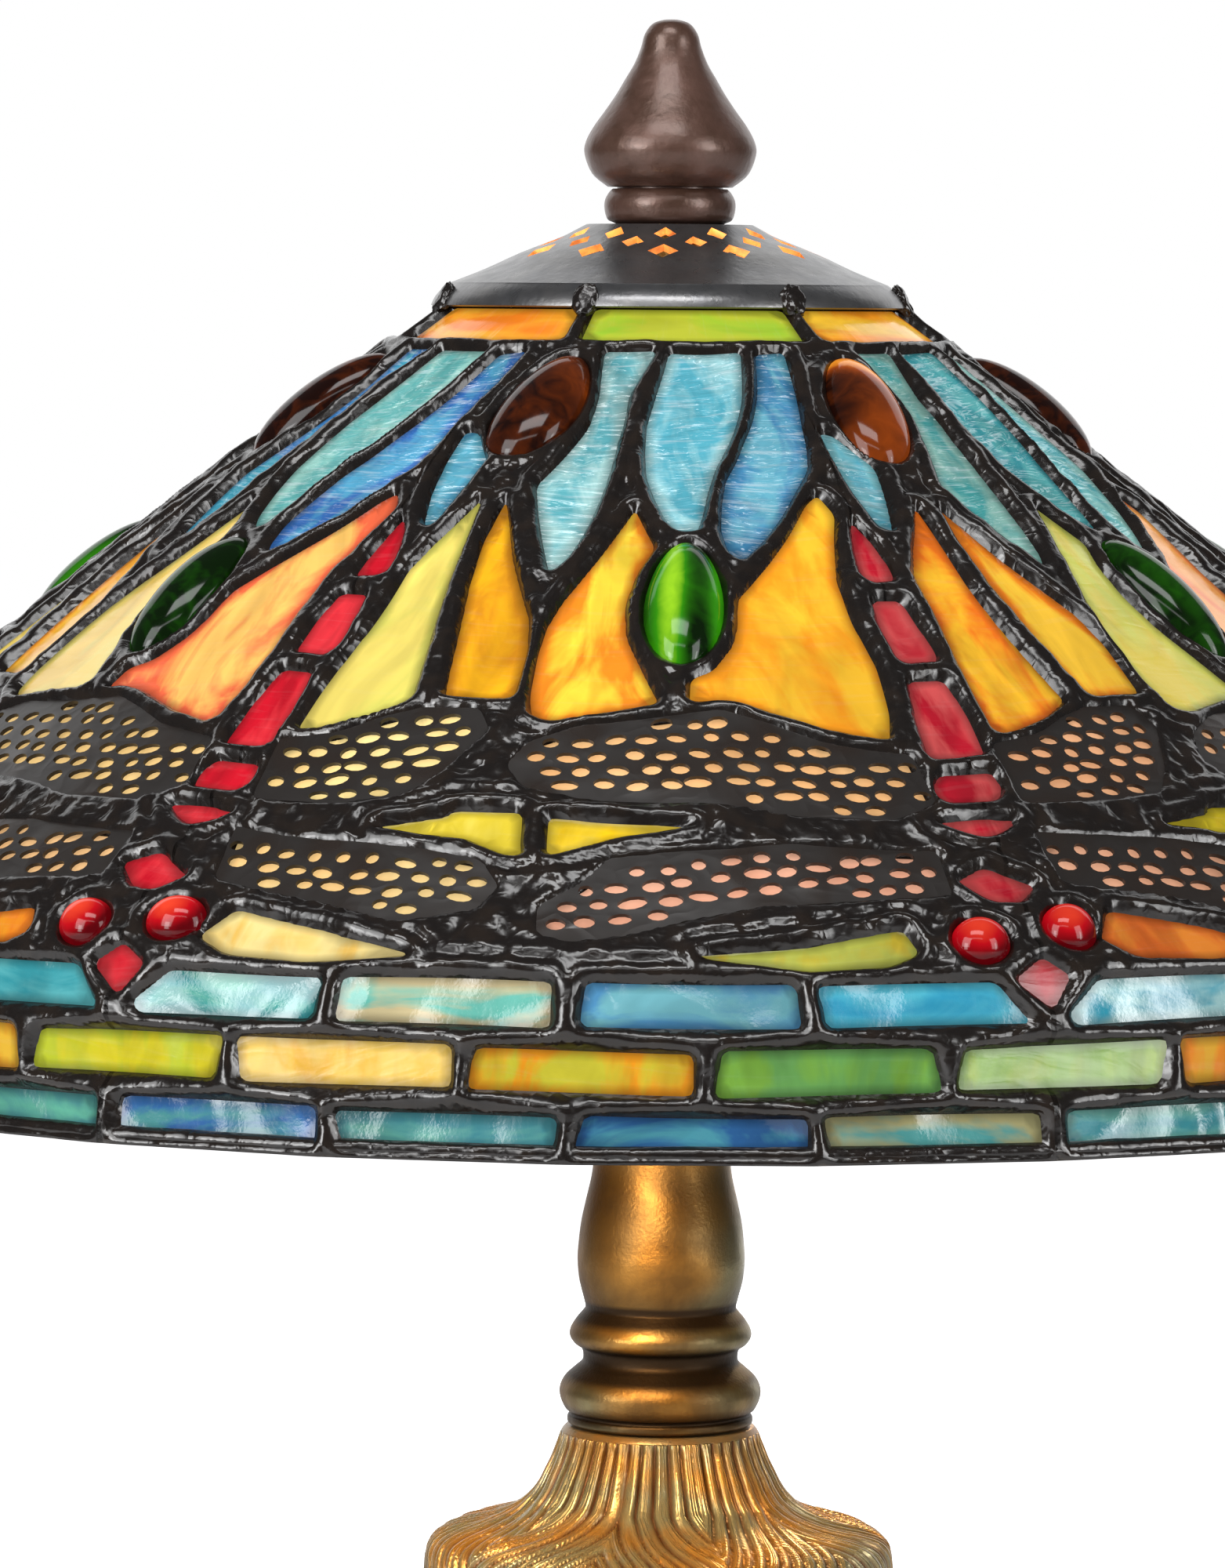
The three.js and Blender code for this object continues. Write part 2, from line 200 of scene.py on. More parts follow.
def curve_points(start, bend, end, steps=160):
    """Points on a quadratic curve from start to end, pulled towards bend."""
    t = np.linspace(0, 1, steps)[:, None]
    start, bend, end = np.array(start), np.array(bend), np.array(end)
    return (1 - t) ** 2 * start + 2 * t * (1 - t) * bend + t**2 * end


def shade_form():
    """The shade's outline as slant, radius and height above the rim, in millimetres."""
    lip = (37.1, 115.1)
    bend_start = (145.0, 29.5)
    apron_top = (150.8, 17.0)
    rim = (152.4, 0.0)
    dome = curve_points(lip, (89.0, 77.9), bend_start)
    bend = curve_points(bend_start, (149.6, 25.7), apron_top)[1:]
    points = np.vstack([dome, bend, [rim]])
    steps = np.hypot(*np.diff(points, axis=0).T)
    return np.concatenate([[0], np.cumsum(steps)]), points[:, 0], points[:, 1]


FORM_SLANT, FORM_RADIUS, FORM_HEIGHT = shade_form()
SLANT_END = float(FORM_SLANT[-1])


def smoothstep(value, low, high):
    t = np.clip((value - low) / (high - low), 0, 1)
    return t * t * (3 - 2 * t)


def mm_per_degree(slant):
    return float(np.interp(slant, FORM_SLANT, FORM_RADIUS)) * math.pi / 180


def flat_facet(azimuth, shift):
    """How far in a flat side of the rim's polygon lies, as a share of its corners' radius."""
    step = 360 / FACETS
    from_middle = np.radians((azimuth - FIRST_DRAGONFLY - shift) % step - step / 2)
    return math.cos(math.radians(step / 2)) / np.cos(from_middle)


def on_shade(azimuth, slant, lift):
    """Points in metres, for arrays of azimuth (degrees), slant and lift off the form (mm)."""
    azimuth = np.asarray(azimuth, float)
    slant = np.asarray(slant, float)
    # Lines laid by hand wander a little, most of all half way down.
    free = smoothstep(slant, 6, 30) * (1 - smoothstep(slant, 132, 148))
    turn = np.radians(azimuth)
    drift = 0.30 * np.sin(5 * turn + slant / 17) + 0.20 * np.sin(11 * turn - slant / 9 + 1.3)
    rise = 0.45 * np.sin(9 * turn + slant / 23 + 0.7) + 0.30 * np.sin(17 * turn - slant / 31)
    rim_free = 1 - smoothstep(slant, 160, 168)
    azimuth = azimuth + drift * (0.25 + 0.75 * free) * rim_free
    slant_used = slant + rise * (0.35 + 0.65 * free) * smoothstep(slant, 0, 12) * rim_free

    radius = np.interp(slant_used, FORM_SLANT, FORM_RADIUS)
    height = np.interp(slant_used, FORM_SLANT, FORM_HEIGHT)
    before = np.minimum(slant, 0)
    step = 0.6
    ahead = np.clip(slant_used + step, 2 * step, SLANT_END)
    behind = np.clip(slant_used - step, 0, SLANT_END - 2 * step)
    run = np.interp(ahead, FORM_SLANT, FORM_RADIUS) - np.interp(behind, FORM_SLANT, FORM_RADIUS)
    fall = np.interp(ahead, FORM_SLANT, FORM_HEIGHT) - np.interp(behind, FORM_SLANT, FORM_HEIGHT)
    length = np.hypot(run, fall)
    run, fall = run / length, fall / length
    radius = radius + run * before - fall * lift
    height = height + fall * before + run * lift

    upper = flat_facet(azimuth, 0.1)
    middle = flat_facet(azimuth, 7.4)
    in_middle = smoothstep(slant, 151.0, 152.4) * (1 - smoothstep(slant, 160.2, 161.6))
    facet = upper + (middle - upper) * in_middle
    radius = radius * (1 + (facet - 1) * smoothstep(slant, 118, 143))
    turn = np.radians(azimuth)
    return np.stack(
        [radius * np.sin(turn) * MM, -radius * np.cos(turn) * MM, height * MM + RIM], axis=-1)


def bend_to_form(mesh, azimuth, rows=None):
    """Moves a mesh laid out as (turn, slant, lift) on to the shade, from the given azimuth."""
    count = len(mesh.vertices)
    flat = np.empty(count * 3, np.float32)
    mesh.vertices.foreach_get("co", flat)
    turn, slant, lift = flat.reshape(-1, 3).T
    placed = on_shade(azimuth + turn, slant, lift if rows is None else rows)
    mesh.vertices.foreach_set("co", placed.astype(np.float32).ravel())
    mesh.update()


# ---------------------------------------------------------------- the pattern

JEWEL_LINE = 10.5  # solder line down from the cap, between two fans of petals

PETALS = {
    "inner": [(18.4, 8.9), (28.4, 8.9), (26, 15), (24.5, 20), (24.3, 26), (23.7, 30), (23.3, 36),
              (22.6, 44), (21.7, 52), (20.7, 58), (19.5, 61), (18.1, 55.5), (16.2, 48),
              (14.7, 41.5), (17, 33.7), (19, 27), (19.6, 20)],
    "middle": [(30.8, 9), (44.8, 9.2), (42.2, 21), (39.5, 30), (37, 37), (35.6, 43), (34.6, 49),
               (33.8, 52.5), (32, 52.5), (30.6, 50), (28.9, 44), (27.8, 39), (27.5, 33),
               (27.6, 27), (28.9, 19)],
    "outer": [(47.7, 9.6), (53.7, 9.4), (51.9, 20), (50.4, 28), (49.8, 33), (48.9, 38),
              (46.7, 42.5), (43.8, 49), (40.9, 54.5), (38.2, 59), (37.2, 57), (36.6, 52),
              (37.1, 46), (38, 40), (39.8, 35), (41, 31), (43.3, 25), (45.3, 19)],
    "small": [(52.7, 29), (54.9, 29.5), (58.4, 36.5), (57.6, 42), (56.6, 48), (55.9, 52),
              (54.7, 51.5), (53.4, 44), (52.8, 36)],
}

TAIL = [
    [(0.3, 49.5), (1.6, 54), (2.3, 60), (2.1, 63), (-1, 63.5), (-0.9, 58.5), (-0.3, 53)],
    [(-1.2, 67), (1.7, 67), (2.3, 78), (1.9, 80.5), (-1.5, 80.5), (-1.7, 73)],
    [(-1.6, 84), (1.6, 84), (2, 92), (1.9, 100), (-2.3, 100.3), (-2.2, 92)],
    [(-2, 103.2), (1.9, 103.2), (2.2, 107), (1.5, 109.2), (-2.4, 109.2), (-2.7, 106)],
    [(-3.3, 112.8), (0, 112.3), (2.4, 113.3), (1.2, 115.3), (-0.5, 116.6), (-2, 115)],
    [(-3.4, 124.8), (-1.2, 121.8), (1.8, 126.5), (0.2, 129.6), (-1.5, 129.2)],
    [(-1.6, 143.7), (0.2, 139.9), (1.8, 143.3), (0.4, 148.3)],
]

RAYS = {
    "first": [(8.95, 45.5), (9.2, 55), (9.3, 64), (9.9, 73), (10.6, 81), (11.3, 89.3),
              (8.5, 92.8), (5, 95.5), (3.4, 96), (3.4, 88), (3.7, 80), (4.2, 71), (4.3, 61.5),
              (5.7, 55.5), (7.5, 50)],
    "second": [(11.9, 45.5), (13.5, 51), (15.2, 58), (17.2, 65), (18.8, 71), (19.4, 78),
               (19.2, 88.7), (13.8, 88.6), (13.2, 83), (12.4, 73.5), (11.6, 64), (11.3, 55)],
    "third": [(26.8, 46.5), (29.4, 55.5), (28, 61), (27.4, 68), (27.9, 75), (29.3, 82),
              (30.7, 89.8), (27, 91.3), (22.5, 93.3), (21, 92.2), (20.5, 88), (20.4, 79),
              (20.6, 73), (21.5, 67), (23.2, 60), (25.2, 52)],
    "fourth": [(48.9, 44), (50.1, 48.5), (49, 54), (47.6, 63), (47.4, 72), (47.8, 81),
               (47.4, 91), (46.8, 96.5), (42.2, 94.3), (37.2, 90), (35.3, 89.2), (33, 89.8),
               (33.2, 85), (35, 83), (36.6, 77.5), (37.1, 73.5), (37.4, 67), (39.8, 61.5),
               (44.3, 52.3), (47.2, 46)],
}

WINGS = {
    "upper_right": [(2.5, 98), (7, 96.2), (10, 92.8), (12.7, 90.9), (17, 90.9), (18.3, 95.5),
                    (16, 104.7), (14, 109.8), (9.5, 110.9), (3, 110.6)],
    "upper_left": [(48, 99.5), (42.2, 97.4), (38.6, 93.9), (35.3, 91.3), (24.6, 94.3),
                   (21.2, 97.8), (20.1, 103), (21.6, 107.7), (26, 109.9), (34.7, 110.6),
                   (38.6, 112.7), (45.5, 112.9), (48.6, 109.5)],
    "lower_right": [(3, 116), (7, 117.5), (12, 118.6), (16, 120.1), (20, 122.3), (21.3, 127.5),
                    (20, 132.4), (15.5, 134.9), (11, 131), (7, 128.8), (3.6, 127)],
    "lower_left": [(47.5, 119), (38, 117.9), (31, 119.5), (27.4, 121), (26, 126), (23.6, 130.9),
                   (23.6, 136.4), (25.5, 137.5), (28.5, 136), (32, 132.7), (36, 130.1),
                   (42, 129.3), (47.5, 128)],
}
WING_SLOPES = {"upper_right": 4, "upper_left": 2, "lower_right": -6, "lower_left": 9}

BETWEEN_WINGS = {
    "near_kite": [(12.7, 115.6), (17.2, 113.3), (17.6, 112), (21.9, 112.2), (22.3, 121),
                  (21.5, 121.2), (19, 118.2), (15.7, 117)],
    "far_kite": [(23.5, 113), (28, 113.6), (32.4, 114.3), (27.4, 117), (24.8, 120), (23.8, 120.8)],
    "right_of_head": [(5.9, 132.2), (4.4, 138), (6.3, 141), (11, 141.8), (16.8, 140.7),
                      (12, 135.9)],
    "left_of_head": [(32.4, 139.3), (43.9, 134.3), (44.7, 139.2), (43, 141.4), (38.6, 141.8)],
}

# Jewels: turn, slant, half width, half length and height in millimetres, and lean in degrees
BROWN_JEWEL = (11.3, 23.7, 5.7, 12.2, 4.6, 11)
GREEN_JEWEL = (32.6, 68.8, 5.4, 12.9, 4.8, 0)
EYES = ((-3.1, 137.0, 4.1, 4.1, 3.6, 0), (2.7, 135.2, 4.1, 4.1, 3.6, 0))

# Rows of bricks: first seam, upper and lower edge, and the least gap of solder between two
BRICK_ROWS = (
    {"name": "upper_bricks", "seam": 0.0, "edges": (144.0, 150.3), "gap": 3.2},
    {"name": "middle_bricks", "seam": 7.4, "edges": (153.2, 159.3), "gap": 3.0},
    {"name": "lower_bricks", "seam": 0.2, "edges": (162.3, 167.2), "gap": 3.2},
)
BRICK_STEP = SECTOR / 4


def ellipse(turn, slant, half_width, half_length, lean=0, steps=28):
    """A jewel's outline on the pattern."""
    scale = mm_per_degree(slant)
    cos, sin = math.cos(math.radians(lean)), math.sin(math.radians(lean))
    outline = []
    for i in range(steps):
        angle = 2 * math.pi * i / steps
        x, y = half_width * math.cos(angle), half_length * math.sin(angle)
        outline.append((turn + (x * cos - y * sin) / scale, slant + x * sin + y * cos))
    return outline


def brick(row, index):
    """A brick's outline: its sides and ends are cut a little out of square."""
    rng = random.Random(f"{row['name']}{index}")
    top, bottom = row["edges"]
    gap = row["gap"] / 2 / mm_per_degree(top)
    left = row["seam"] + index * BRICK_STEP + gap
    right = row["seam"] + (index + 1) * BRICK_STEP - gap
    outline = [(left, top), (right, top), (right, bottom), (left, bottom)]
    if row["name"] == "upper_bricks" and index == 0:  # cut away for the dragonfly's jaw
        outline = [(left + 2.5, top), *outline[1:3], (left + 0.9, bottom), (left + 0.9, 148.6)]
    if row["name"] == "upper_bricks" and index == 3:
        outline = [outline[0], (right - 2.0, top), (right - 0.6, 148.8), *outline[2:]]
    return [(u + rng.uniform(-0.35, 0.35), s + rng.uniform(-0.3, 0.3)) for u, s in outline]


def collar_strip():
    """The long strip of glass under the cap, as an outline with bends."""
    left, right = JEWEL_LINE + 1.9, JEWEL_LINE + SECTOR - 1.9
    turns = np.linspace(left, right, 9)
    return [(float(t), -2.1) for t in turns] + [(float(t), 6.6) for t in turns[::-1]]


def signed_area(points):
    return sum(
        x0 * y1 - x1 * y0 for (x0, y0), (x1, y1) in zip(points, points[1:] + points[:1])) / 2


def soften(points, cut=0.7, rounds=2):
    """Rounds the corners of an outline in millimetres, taking at most cut from each side."""
    for _ in range(rounds):
        rounded = []
        for (x0, y0), (x1, y1) in zip(points, points[1:] + points[:1]):
            share = min(0.25, cut / max(math.hypot(x1 - x0, y1 - y0), 1e-6))
            rounded.append((x0 + (x1 - x0) * share, y0 + (y1 - y0) * share))
            rounded.append((x1 + (x0 - x1) * share, y1 + (y0 - y1) * share))
        points = rounded
        cut /= 2
    return points


def laid_flat(outline, cut=0.7):
    """An outline in millimetres, softened, with the scale that turned its degrees into them."""
    middle = sum(s for _, s in outline) / len(outline)
    scale = mm_per_degree(middle)
    points = [(u * scale, s) for u, s in outline]
    if signed_area(points) < 0:
        points.reverse()
    return soften(points, cut), scale


def softened(shapes):
    """Outlines with their corners rounded, still on the pattern."""
    outlines = []
    for shape in shapes:
        points, scale = laid_flat(shape)
        outlines.append([(x / scale, s) for x, s in points])
    return outlines


def pane_outlines():
    """Every glass edge of one sector."""
    shapes = [*PETALS.values(), *TAIL, *RAYS.values(), *BETWEEN_WINGS.values(), collar_strip()]
    shapes += [brick(row, i) for row in BRICK_ROWS for i in range(4)]
    outlines = softened(shapes)
    for jewel in (BROWN_JEWEL, GREEN_JEWEL, *EYES):
        turn, slant, half_width, half_length, _, lean = jewel
        outlines.append(ellipse(turn, slant, half_width, half_length, lean))
    return outlines


def clearance(turns, slants, outline, reach=6.0):
    """Distance in mm from pattern points to an outline, negative inside it. Far points get reach."""
    corners = np.array(outline)
    scale = np.interp(slants, FORM_SLANT, FORM_RADIUS) * math.pi / 180
    far = np.full(turns.shape, reach)
    margin = reach / scale
    near = (
        (turns > corners[:, 0].min() - margin) & (turns < corners[:, 0].max() + margin)
        & (slants > corners[:, 1].min() - reach) & (slants < corners[:, 1].max() + reach))
    if not near.any():
        return far
    u, s, k = turns[near], slants[near], scale[near]
    best = np.full(u.shape, 1e9)
    inside = np.zeros(u.shape, bool)
    for (u0, s0), (u1, s1) in zip(corners, np.roll(corners, -1, axis=0)):
        ax, ay = (u0 - u) * k, s0 - s
        bx, by = (u1 - u) * k, s1 - s
        ex, ey = bx - ax, by - ay
        along = np.clip(-(ax * ex + ay * ey) / np.maximum(ex * ex + ey * ey, 1e-9), 0, 1)
        best = np.minimum(best, np.hypot(ax + ex * along, ay + ey * along))
        crosses = (s0 > s) != (s1 > s)
        if s0 != s1:
            inside ^= crosses & (u < (u1 - u0) * (s - s0) / (s1 - s0) + u0)
    far[near] = np.clip(np.where(inside, -best, best), -reach, reach)
    return far


# ---------------------------------------------------------------- making pieces


def linear(colour):
    """A colour given as 0-255 display values, as linear red, green, blue and 1."""
    channels = []
    for channel in colour:
        c = channel / 255
        channels.append(c / 12.92 if c <= 0.04045 else ((c + 0.055) / 1.055) ** 2.4)
    return (*channels, 1.0)


def show(name, source, material, body, slot, *nodes, crease=40):
    """Turns a bmesh or a finished mesh into a piece of the lamp that rides on a body."""
    if isinstance(source, bmesh.types.BMesh):
        limit = math.radians(crease)
        for edge in source.edges:
            if len(edge.link_faces) == 2 and edge.calc_face_angle(0) > limit:
                edge.smooth = False
        mesh = bpy.data.meshes.new(name)
        source.to_mesh(mesh)
        source.free()
    else:
        mesh = source
        mesh.name = name
    mesh.polygons.foreach_set("use_smooth", [True] * len(mesh.polygons))
    mesh.materials.clear()
    mesh.materials.append(material)
    piece = bpy.data.objects.new(name, mesh)
    bpy.context.scene.collection.objects.link(piece)
    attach(piece, body)
    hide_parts(*nodes)
    return piece


def add_pane(total, outline, sector, look, seed, flat=0.8, cell=2.6, lift=None, thickness=None):
    """Adds one pane of glass, cut flat, ground to its outline and laid on the shade."""
    shade = settings().shade
    lift = -shade.glass_depth if lift is None else lift
    thickness = shade.glass_thickness if thickness is None else thickness
    rng = random.Random(seed)
    points, scale = laid_flat(outline)
    sheet = bmesh.new()
    sheet.faces.new([sheet.verts.new((x, y, 0)) for x, y in points])
    bmesh.ops.triangulate(sheet, faces=sheet.faces[:])
    for axis in (0, 1):
        low = min(v.co[axis] for v in sheet.verts)
        high = max(v.co[axis] for v in sheet.verts)
        cuts = int((high - low) / cell)
        normal = Vector((1, 0, 0)) if axis == 0 else Vector((0, 1, 0))
        for i in range(1, cuts + 1):
            place = normal * (low + (high - low) * i / (cuts + 1))
            geometry = sheet.verts[:] + sheet.edges[:] + sheet.faces[:]
            bmesh.ops.bisect_plane(sheet, geom=geometry, plane_co=place, plane_no=normal)
    made = bmesh.ops.extrude_face_region(sheet, geom=sheet.faces[:])
    behind = [v for v in made["geom"] if isinstance(v, bmesh.types.BMVert)]
    for v in behind:
        v.co.z = -thickness
    bmesh.ops.recalc_face_normals(sheet, faces=sheet.faces[:])

    # The grain of the sheet runs along the pane, at a place and slant of its own.
    grain = sheet.loops.layers.uv.new("grain")
    edge = sheet.verts.layers.float.new("edge")
    tint = sheet.verts.layers.float_color.new("tint")
    streak = sheet.verts.layers.float_color.new("streak")
    turn = math.radians(look.get("angle", 0) + rng.uniform(-8, 8))
    offset = (rng.uniform(0, 50), rng.uniform(0, 50))
    for face in sheet.faces:
        for loop in face.loops:
            x, y = loop.vert.co.x, loop.vert.co.y
            across = x * math.cos(turn) + y * math.sin(turn)
            along = y * math.cos(turn) - x * math.sin(turn)
            loop[grain].uv = (across / 10 + offset[0], along / 10 + offset[1])
    shades = [linear(c) for c in look["colours"]]
    co = np.array([v.co[:] for v in sheet.verts])
    unbent = [(x / scale, y) for x, y in points]
    inwards = -clearance(co[:, 0] / scale, co[:, 1], unbent)
    # 'edge' runs from 0 at the border to 1 at 2.6 mm in. The glass material uses it to paint shade
    # towards the border.
    for v, depth in zip(sheet.verts, inwards):
        v[edge] = min(1.0, max(0.0, depth / 2.6))
        v[tint] = shades[0]
        v[streak] = shades[-1]

    azimuth = FIRST_DRAGONFLY + sector * SECTOR
    placed = on_shade(azimuth + co[:, 0] / scale, co[:, 1], lift + co[:, 2])
    if flat:
        is_front = co[:, 2] > -thickness / 2
        centre = placed[is_front].mean(0)
        normal = np.linalg.svd(placed[is_front] - centre)[2][2]
        if normal @ np.array([centre[0], centre[1], abs(centre[2])]) < 0:
            normal = -normal
        depth = np.where(is_front, 0, -thickness * MM)
        off_plane = (placed - centre) @ normal - depth
        placed -= np.outer(off_plane * flat, normal)
    for v, place in zip(sheet.verts, placed):
        v.co = place
    step = bpy.data.meshes.new("pane")
    sheet.to_mesh(step)
    sheet.free()
    total.from_mesh(step)
    bpy.data.meshes.remove(step)


# Tints as display colours: the body of the sheet, then its streaks. The three lists of looks are
# for the middle fan, the one to its right and the one to its left, which then repeat round.
FAN_ORDER = (1, 2, 0, 1, 0, 2, 0)

PETAL_LOOKS = {
    "inner": [((96, 176, 186), (170, 215, 214)), ((70, 160, 160), (140, 190, 180)),
              ((72, 170, 196), (60, 130, 196))],
    "middle": [((88, 178, 198), (160, 214, 220)), ((92, 178, 180), (60, 150, 160)),
               ((98, 178, 176), (150, 206, 196))],
    "outer": [((104, 178, 200), (66, 134, 178)), ((86, 178, 186), (150, 204, 196)),
              ((86, 168, 206), (54, 112, 188))],
    "small": [((84, 176, 200), (130, 200, 210)), ((96, 170, 180), (60, 130, 150)),
              ((56, 138, 186), (96, 176, 200))],
}
RAY_LOOKS = {
    "first": [((248, 226, 112), (226, 220, 104)), ((248, 188, 44), (236, 116, 24)),
              ((236, 206, 96), (214, 200, 96))],
    "second": [((246, 178, 24), (214, 140, 22)), ((248, 196, 56), (236, 128, 22)),
               ((246, 190, 60), (238, 150, 40))],
    "third": [((250, 214, 62), (240, 138, 30)), ((222, 200, 84), (206, 208, 100)),
              ((226, 190, 92), (212, 196, 106))],
    "fourth": [((252, 194, 48), (248, 156, 28)), ((240, 164, 84), (236, 130, 70)),
               ((250, 196, 100), (244, 106, 66))],
}
TAIL_LOOKS = [((206, 16, 38), (232, 52, 62)), ((184, 22, 42), (214, 84, 84)),
              ((210, 14, 34), (230, 44, 52))]
WING_LOOKS = {
    "upper_right": [(252, 214, 140), (244, 178, 130), (246, 196, 120)],
    "upper_left": [(250, 190, 128), (244, 186, 140), (240, 200, 130)],
    "lower_right": [(252, 206, 136), (240, 176, 140), (246, 196, 120)],
    "lower_left": [(248, 178, 146), (240, 180, 150), (246, 190, 130)],
}
BETWEEN_LOOKS = {
    "near_kite": [((252, 230, 92), (240, 214, 60)), ((226, 190, 40), (200, 180, 30)),
                  ((250, 200, 40), (240, 170, 30))],
    "far_kite": [((246, 202, 24), (250, 216, 60)), ((214, 190, 40), (190, 180, 40)),
                 ((240, 180, 30), (246, 200, 60))],
    "right_of_head": [((252, 206, 104), (252, 228, 150)), ((238, 140, 50), (226, 110, 40)),
                      ((250, 150, 40), (246, 180, 60))],
    "left_of_head": [((212, 188, 56), (196, 200, 84)), ((220, 180, 60), (200, 190, 80)),
                     ((246, 158, 34), (240, 130, 30))],
}
COLLAR_LOOKS = [((160, 200, 52), (190, 196, 56)), ((250, 196, 56), (244, 150, 32)),
                ((244, 132, 34), (248, 176, 50))]
BRICK_LOOKS = {
    "upper_bricks": [
        [((98, 188, 170), (60, 160, 164)), ((110, 196, 180), (212, 196, 150)),
         ((118, 186, 198), (84, 150, 196)), ((56, 168, 206), (88, 196, 220))],
        [((60, 170, 196), (176, 224, 226)), ((72, 170, 176), (130, 200, 190)),
         ((70, 160, 196), (120, 190, 200)), ((80, 176, 180), (60, 150, 190))],
        [((96, 176, 180), (60, 150, 176)), ((84, 170, 186), (110, 190, 180)),
         ((70, 160, 180), (96, 180, 190)), ((62, 166, 178), (96, 190, 196))]],
    "middle_bricks": [
        [((250, 192, 62), (252, 210, 96)), ((206, 196, 56), (246, 160, 32)),
         ((128, 180, 70), (110, 170, 90)), ((172, 196, 74), (150, 190, 90))],
        [((250, 150, 50), (240, 180, 60)), ((196, 196, 60), (240, 180, 50)),
         ((150, 186, 70), (120, 176, 80)), ((220, 196, 60), (190, 190, 60))],
        [((250, 180, 60), (230, 200, 70)), ((140, 186, 80), (180, 196, 70)),
         ((240, 190, 60), (250, 160, 40)), ((222, 208, 40), (196, 206, 48))]],
    "lower_bricks": [
        [((84, 158, 160), (56, 112, 176)), ((100, 172, 158), (70, 140, 150)),
         ((76, 150, 166), (46, 96, 150)), ((84, 160, 158), (176, 170, 120))],
        [((66, 150, 160), (110, 180, 170)), ((80, 160, 160), (60, 120, 170)),
         ((70, 150, 150), (100, 176, 160)), ((84, 160, 166), (50, 110, 160))],
        [((90, 176, 150), (70, 150, 160)), ((70, 140, 170), (100, 180, 160)),
         ((84, 160, 150), (60, 120, 160)), ((104, 186, 160), (80, 150, 150))]],
}


def fan_look(looks, sector):
    return looks[FAN_ORDER[sector % SECTORS]]


# ---------------------------------------------------------------- materials


def node(tree, kind, inputs=None, **properties):
    """Adds a shader node; an input's value may be a socket to link from."""
    made = tree.nodes.new(kind)
    for key, value in properties.items():
        setattr(made, key, value)
    for key, value in (inputs or {}).items():
        socket = made.inputs[key]
        if isinstance(value, bpy.types.NodeSocket):
            tree.links.new(value, socket)
        else:
            socket.default_value = value
    return made


def maths(tree, operation, *values, clamp=False):
    inputs = dict(enumerate(values))
    return node(tree, "ShaderNodeMath", inputs, operation=operation, use_clamp=clamp).outputs[0]


def mixed(tree, factor, first, second, mode="MIX"):
    """A mix of two colours."""
    made = node(tree, "ShaderNodeMix", {0: factor, 6: first, 7: second}, data_type="RGBA",
                blend_type=mode)
    return made.outputs[2]


def spread(tree, value, low, high, to_low=0.0, to_high=1.0):
    """Maps a value's range on to another, clamped."""
    inputs = {"Value": value, "From Min": low, "From Max": high, "To Min": to_low,
              "To Max": to_high}
    return node(tree, "ShaderNodeMapRange", inputs).outputs[0]


def cloud(tree, vector, scale, detail=3.0, roughness=0.55, distortion=0.0):
    inputs = {"Vector": vector, "Scale": scale, "Detail": detail, "Roughness": roughness,
              "Distortion": distortion}
    return node(tree, "ShaderNodeTexNoise", inputs).outputs["Fac"]


def stretched(tree, vector, scale, turn=(0, 0, 0)):
    inputs = {"Vector": vector, "Scale": scale, "Rotation": turn}
    return node(tree, "ShaderNodeMapping", inputs).outputs[0]


def new_group(name, inputs, outputs):
    """A node group with named sockets: {name: (kind, default)} in and {name: kind} out."""
    group = bpy.data.node_groups.new(name, "ShaderNodeTree")
    for label, (kind, default) in inputs.items():
        socket = group.interface.new_socket(label, in_out="INPUT", socket_type=kind)
        if default is not None:
            socket.default_value = default
    for label, kind in outputs.items():
        group.interface.new_socket(label, in_out="OUTPUT", socket_type=kind)
    return group, group.nodes.new("NodeGroupInput").outputs, group.nodes.new("NodeGroupOutput").inputs


def use_group(tree, group, inputs):
    made = node(tree, "ShaderNodeGroup", node_tree=group)
    for key, value in inputs.items():
        if isinstance(value, bpy.types.NodeSocket):
            tree.links.new(value, made.inputs[key])
        else:
            made.inputs[key].default_value = value
    return made.outputs


FLOAT, COLOUR, VECTOR = "NodeSocketFloat", "NodeSocketColor", "NodeSocketVector"
GROUPS = {}


def lamp_glow_group():
    """How strongly a point is lit by the two bulbs behind the glass."""
    group, given, out = new_group(
        "Lamp glow",
        {"Place": (VECTOR, None), "Front bulb": (VECTOR, None), "Back bulb": (VECTOR, None),
         "Reach": (FLOAT, 0.09), "Glow": (FLOAT, 1.0)},
        {"Glow": FLOAT})
    lights = []
    for bulb in ("Front bulb", "Back bulb"):
        span = node(group, "ShaderNodeVectorMath", {0: given["Place"], 1: given[bulb]},
                    operation="DISTANCE").outputs["Value"]
        share = maths(group, "DIVIDE", span, given["Reach"])
        square = maths(group, "MULTIPLY", share, share)
        lights.append(maths(group, "DIVIDE", 1.0, maths(group, "ADD", square, 1.0)))
    both = maths(group, "ADD", *lights)
    group.links.new(maths(group, "MULTIPLY", both, given["Glow"]), out["Glow"])
    return group


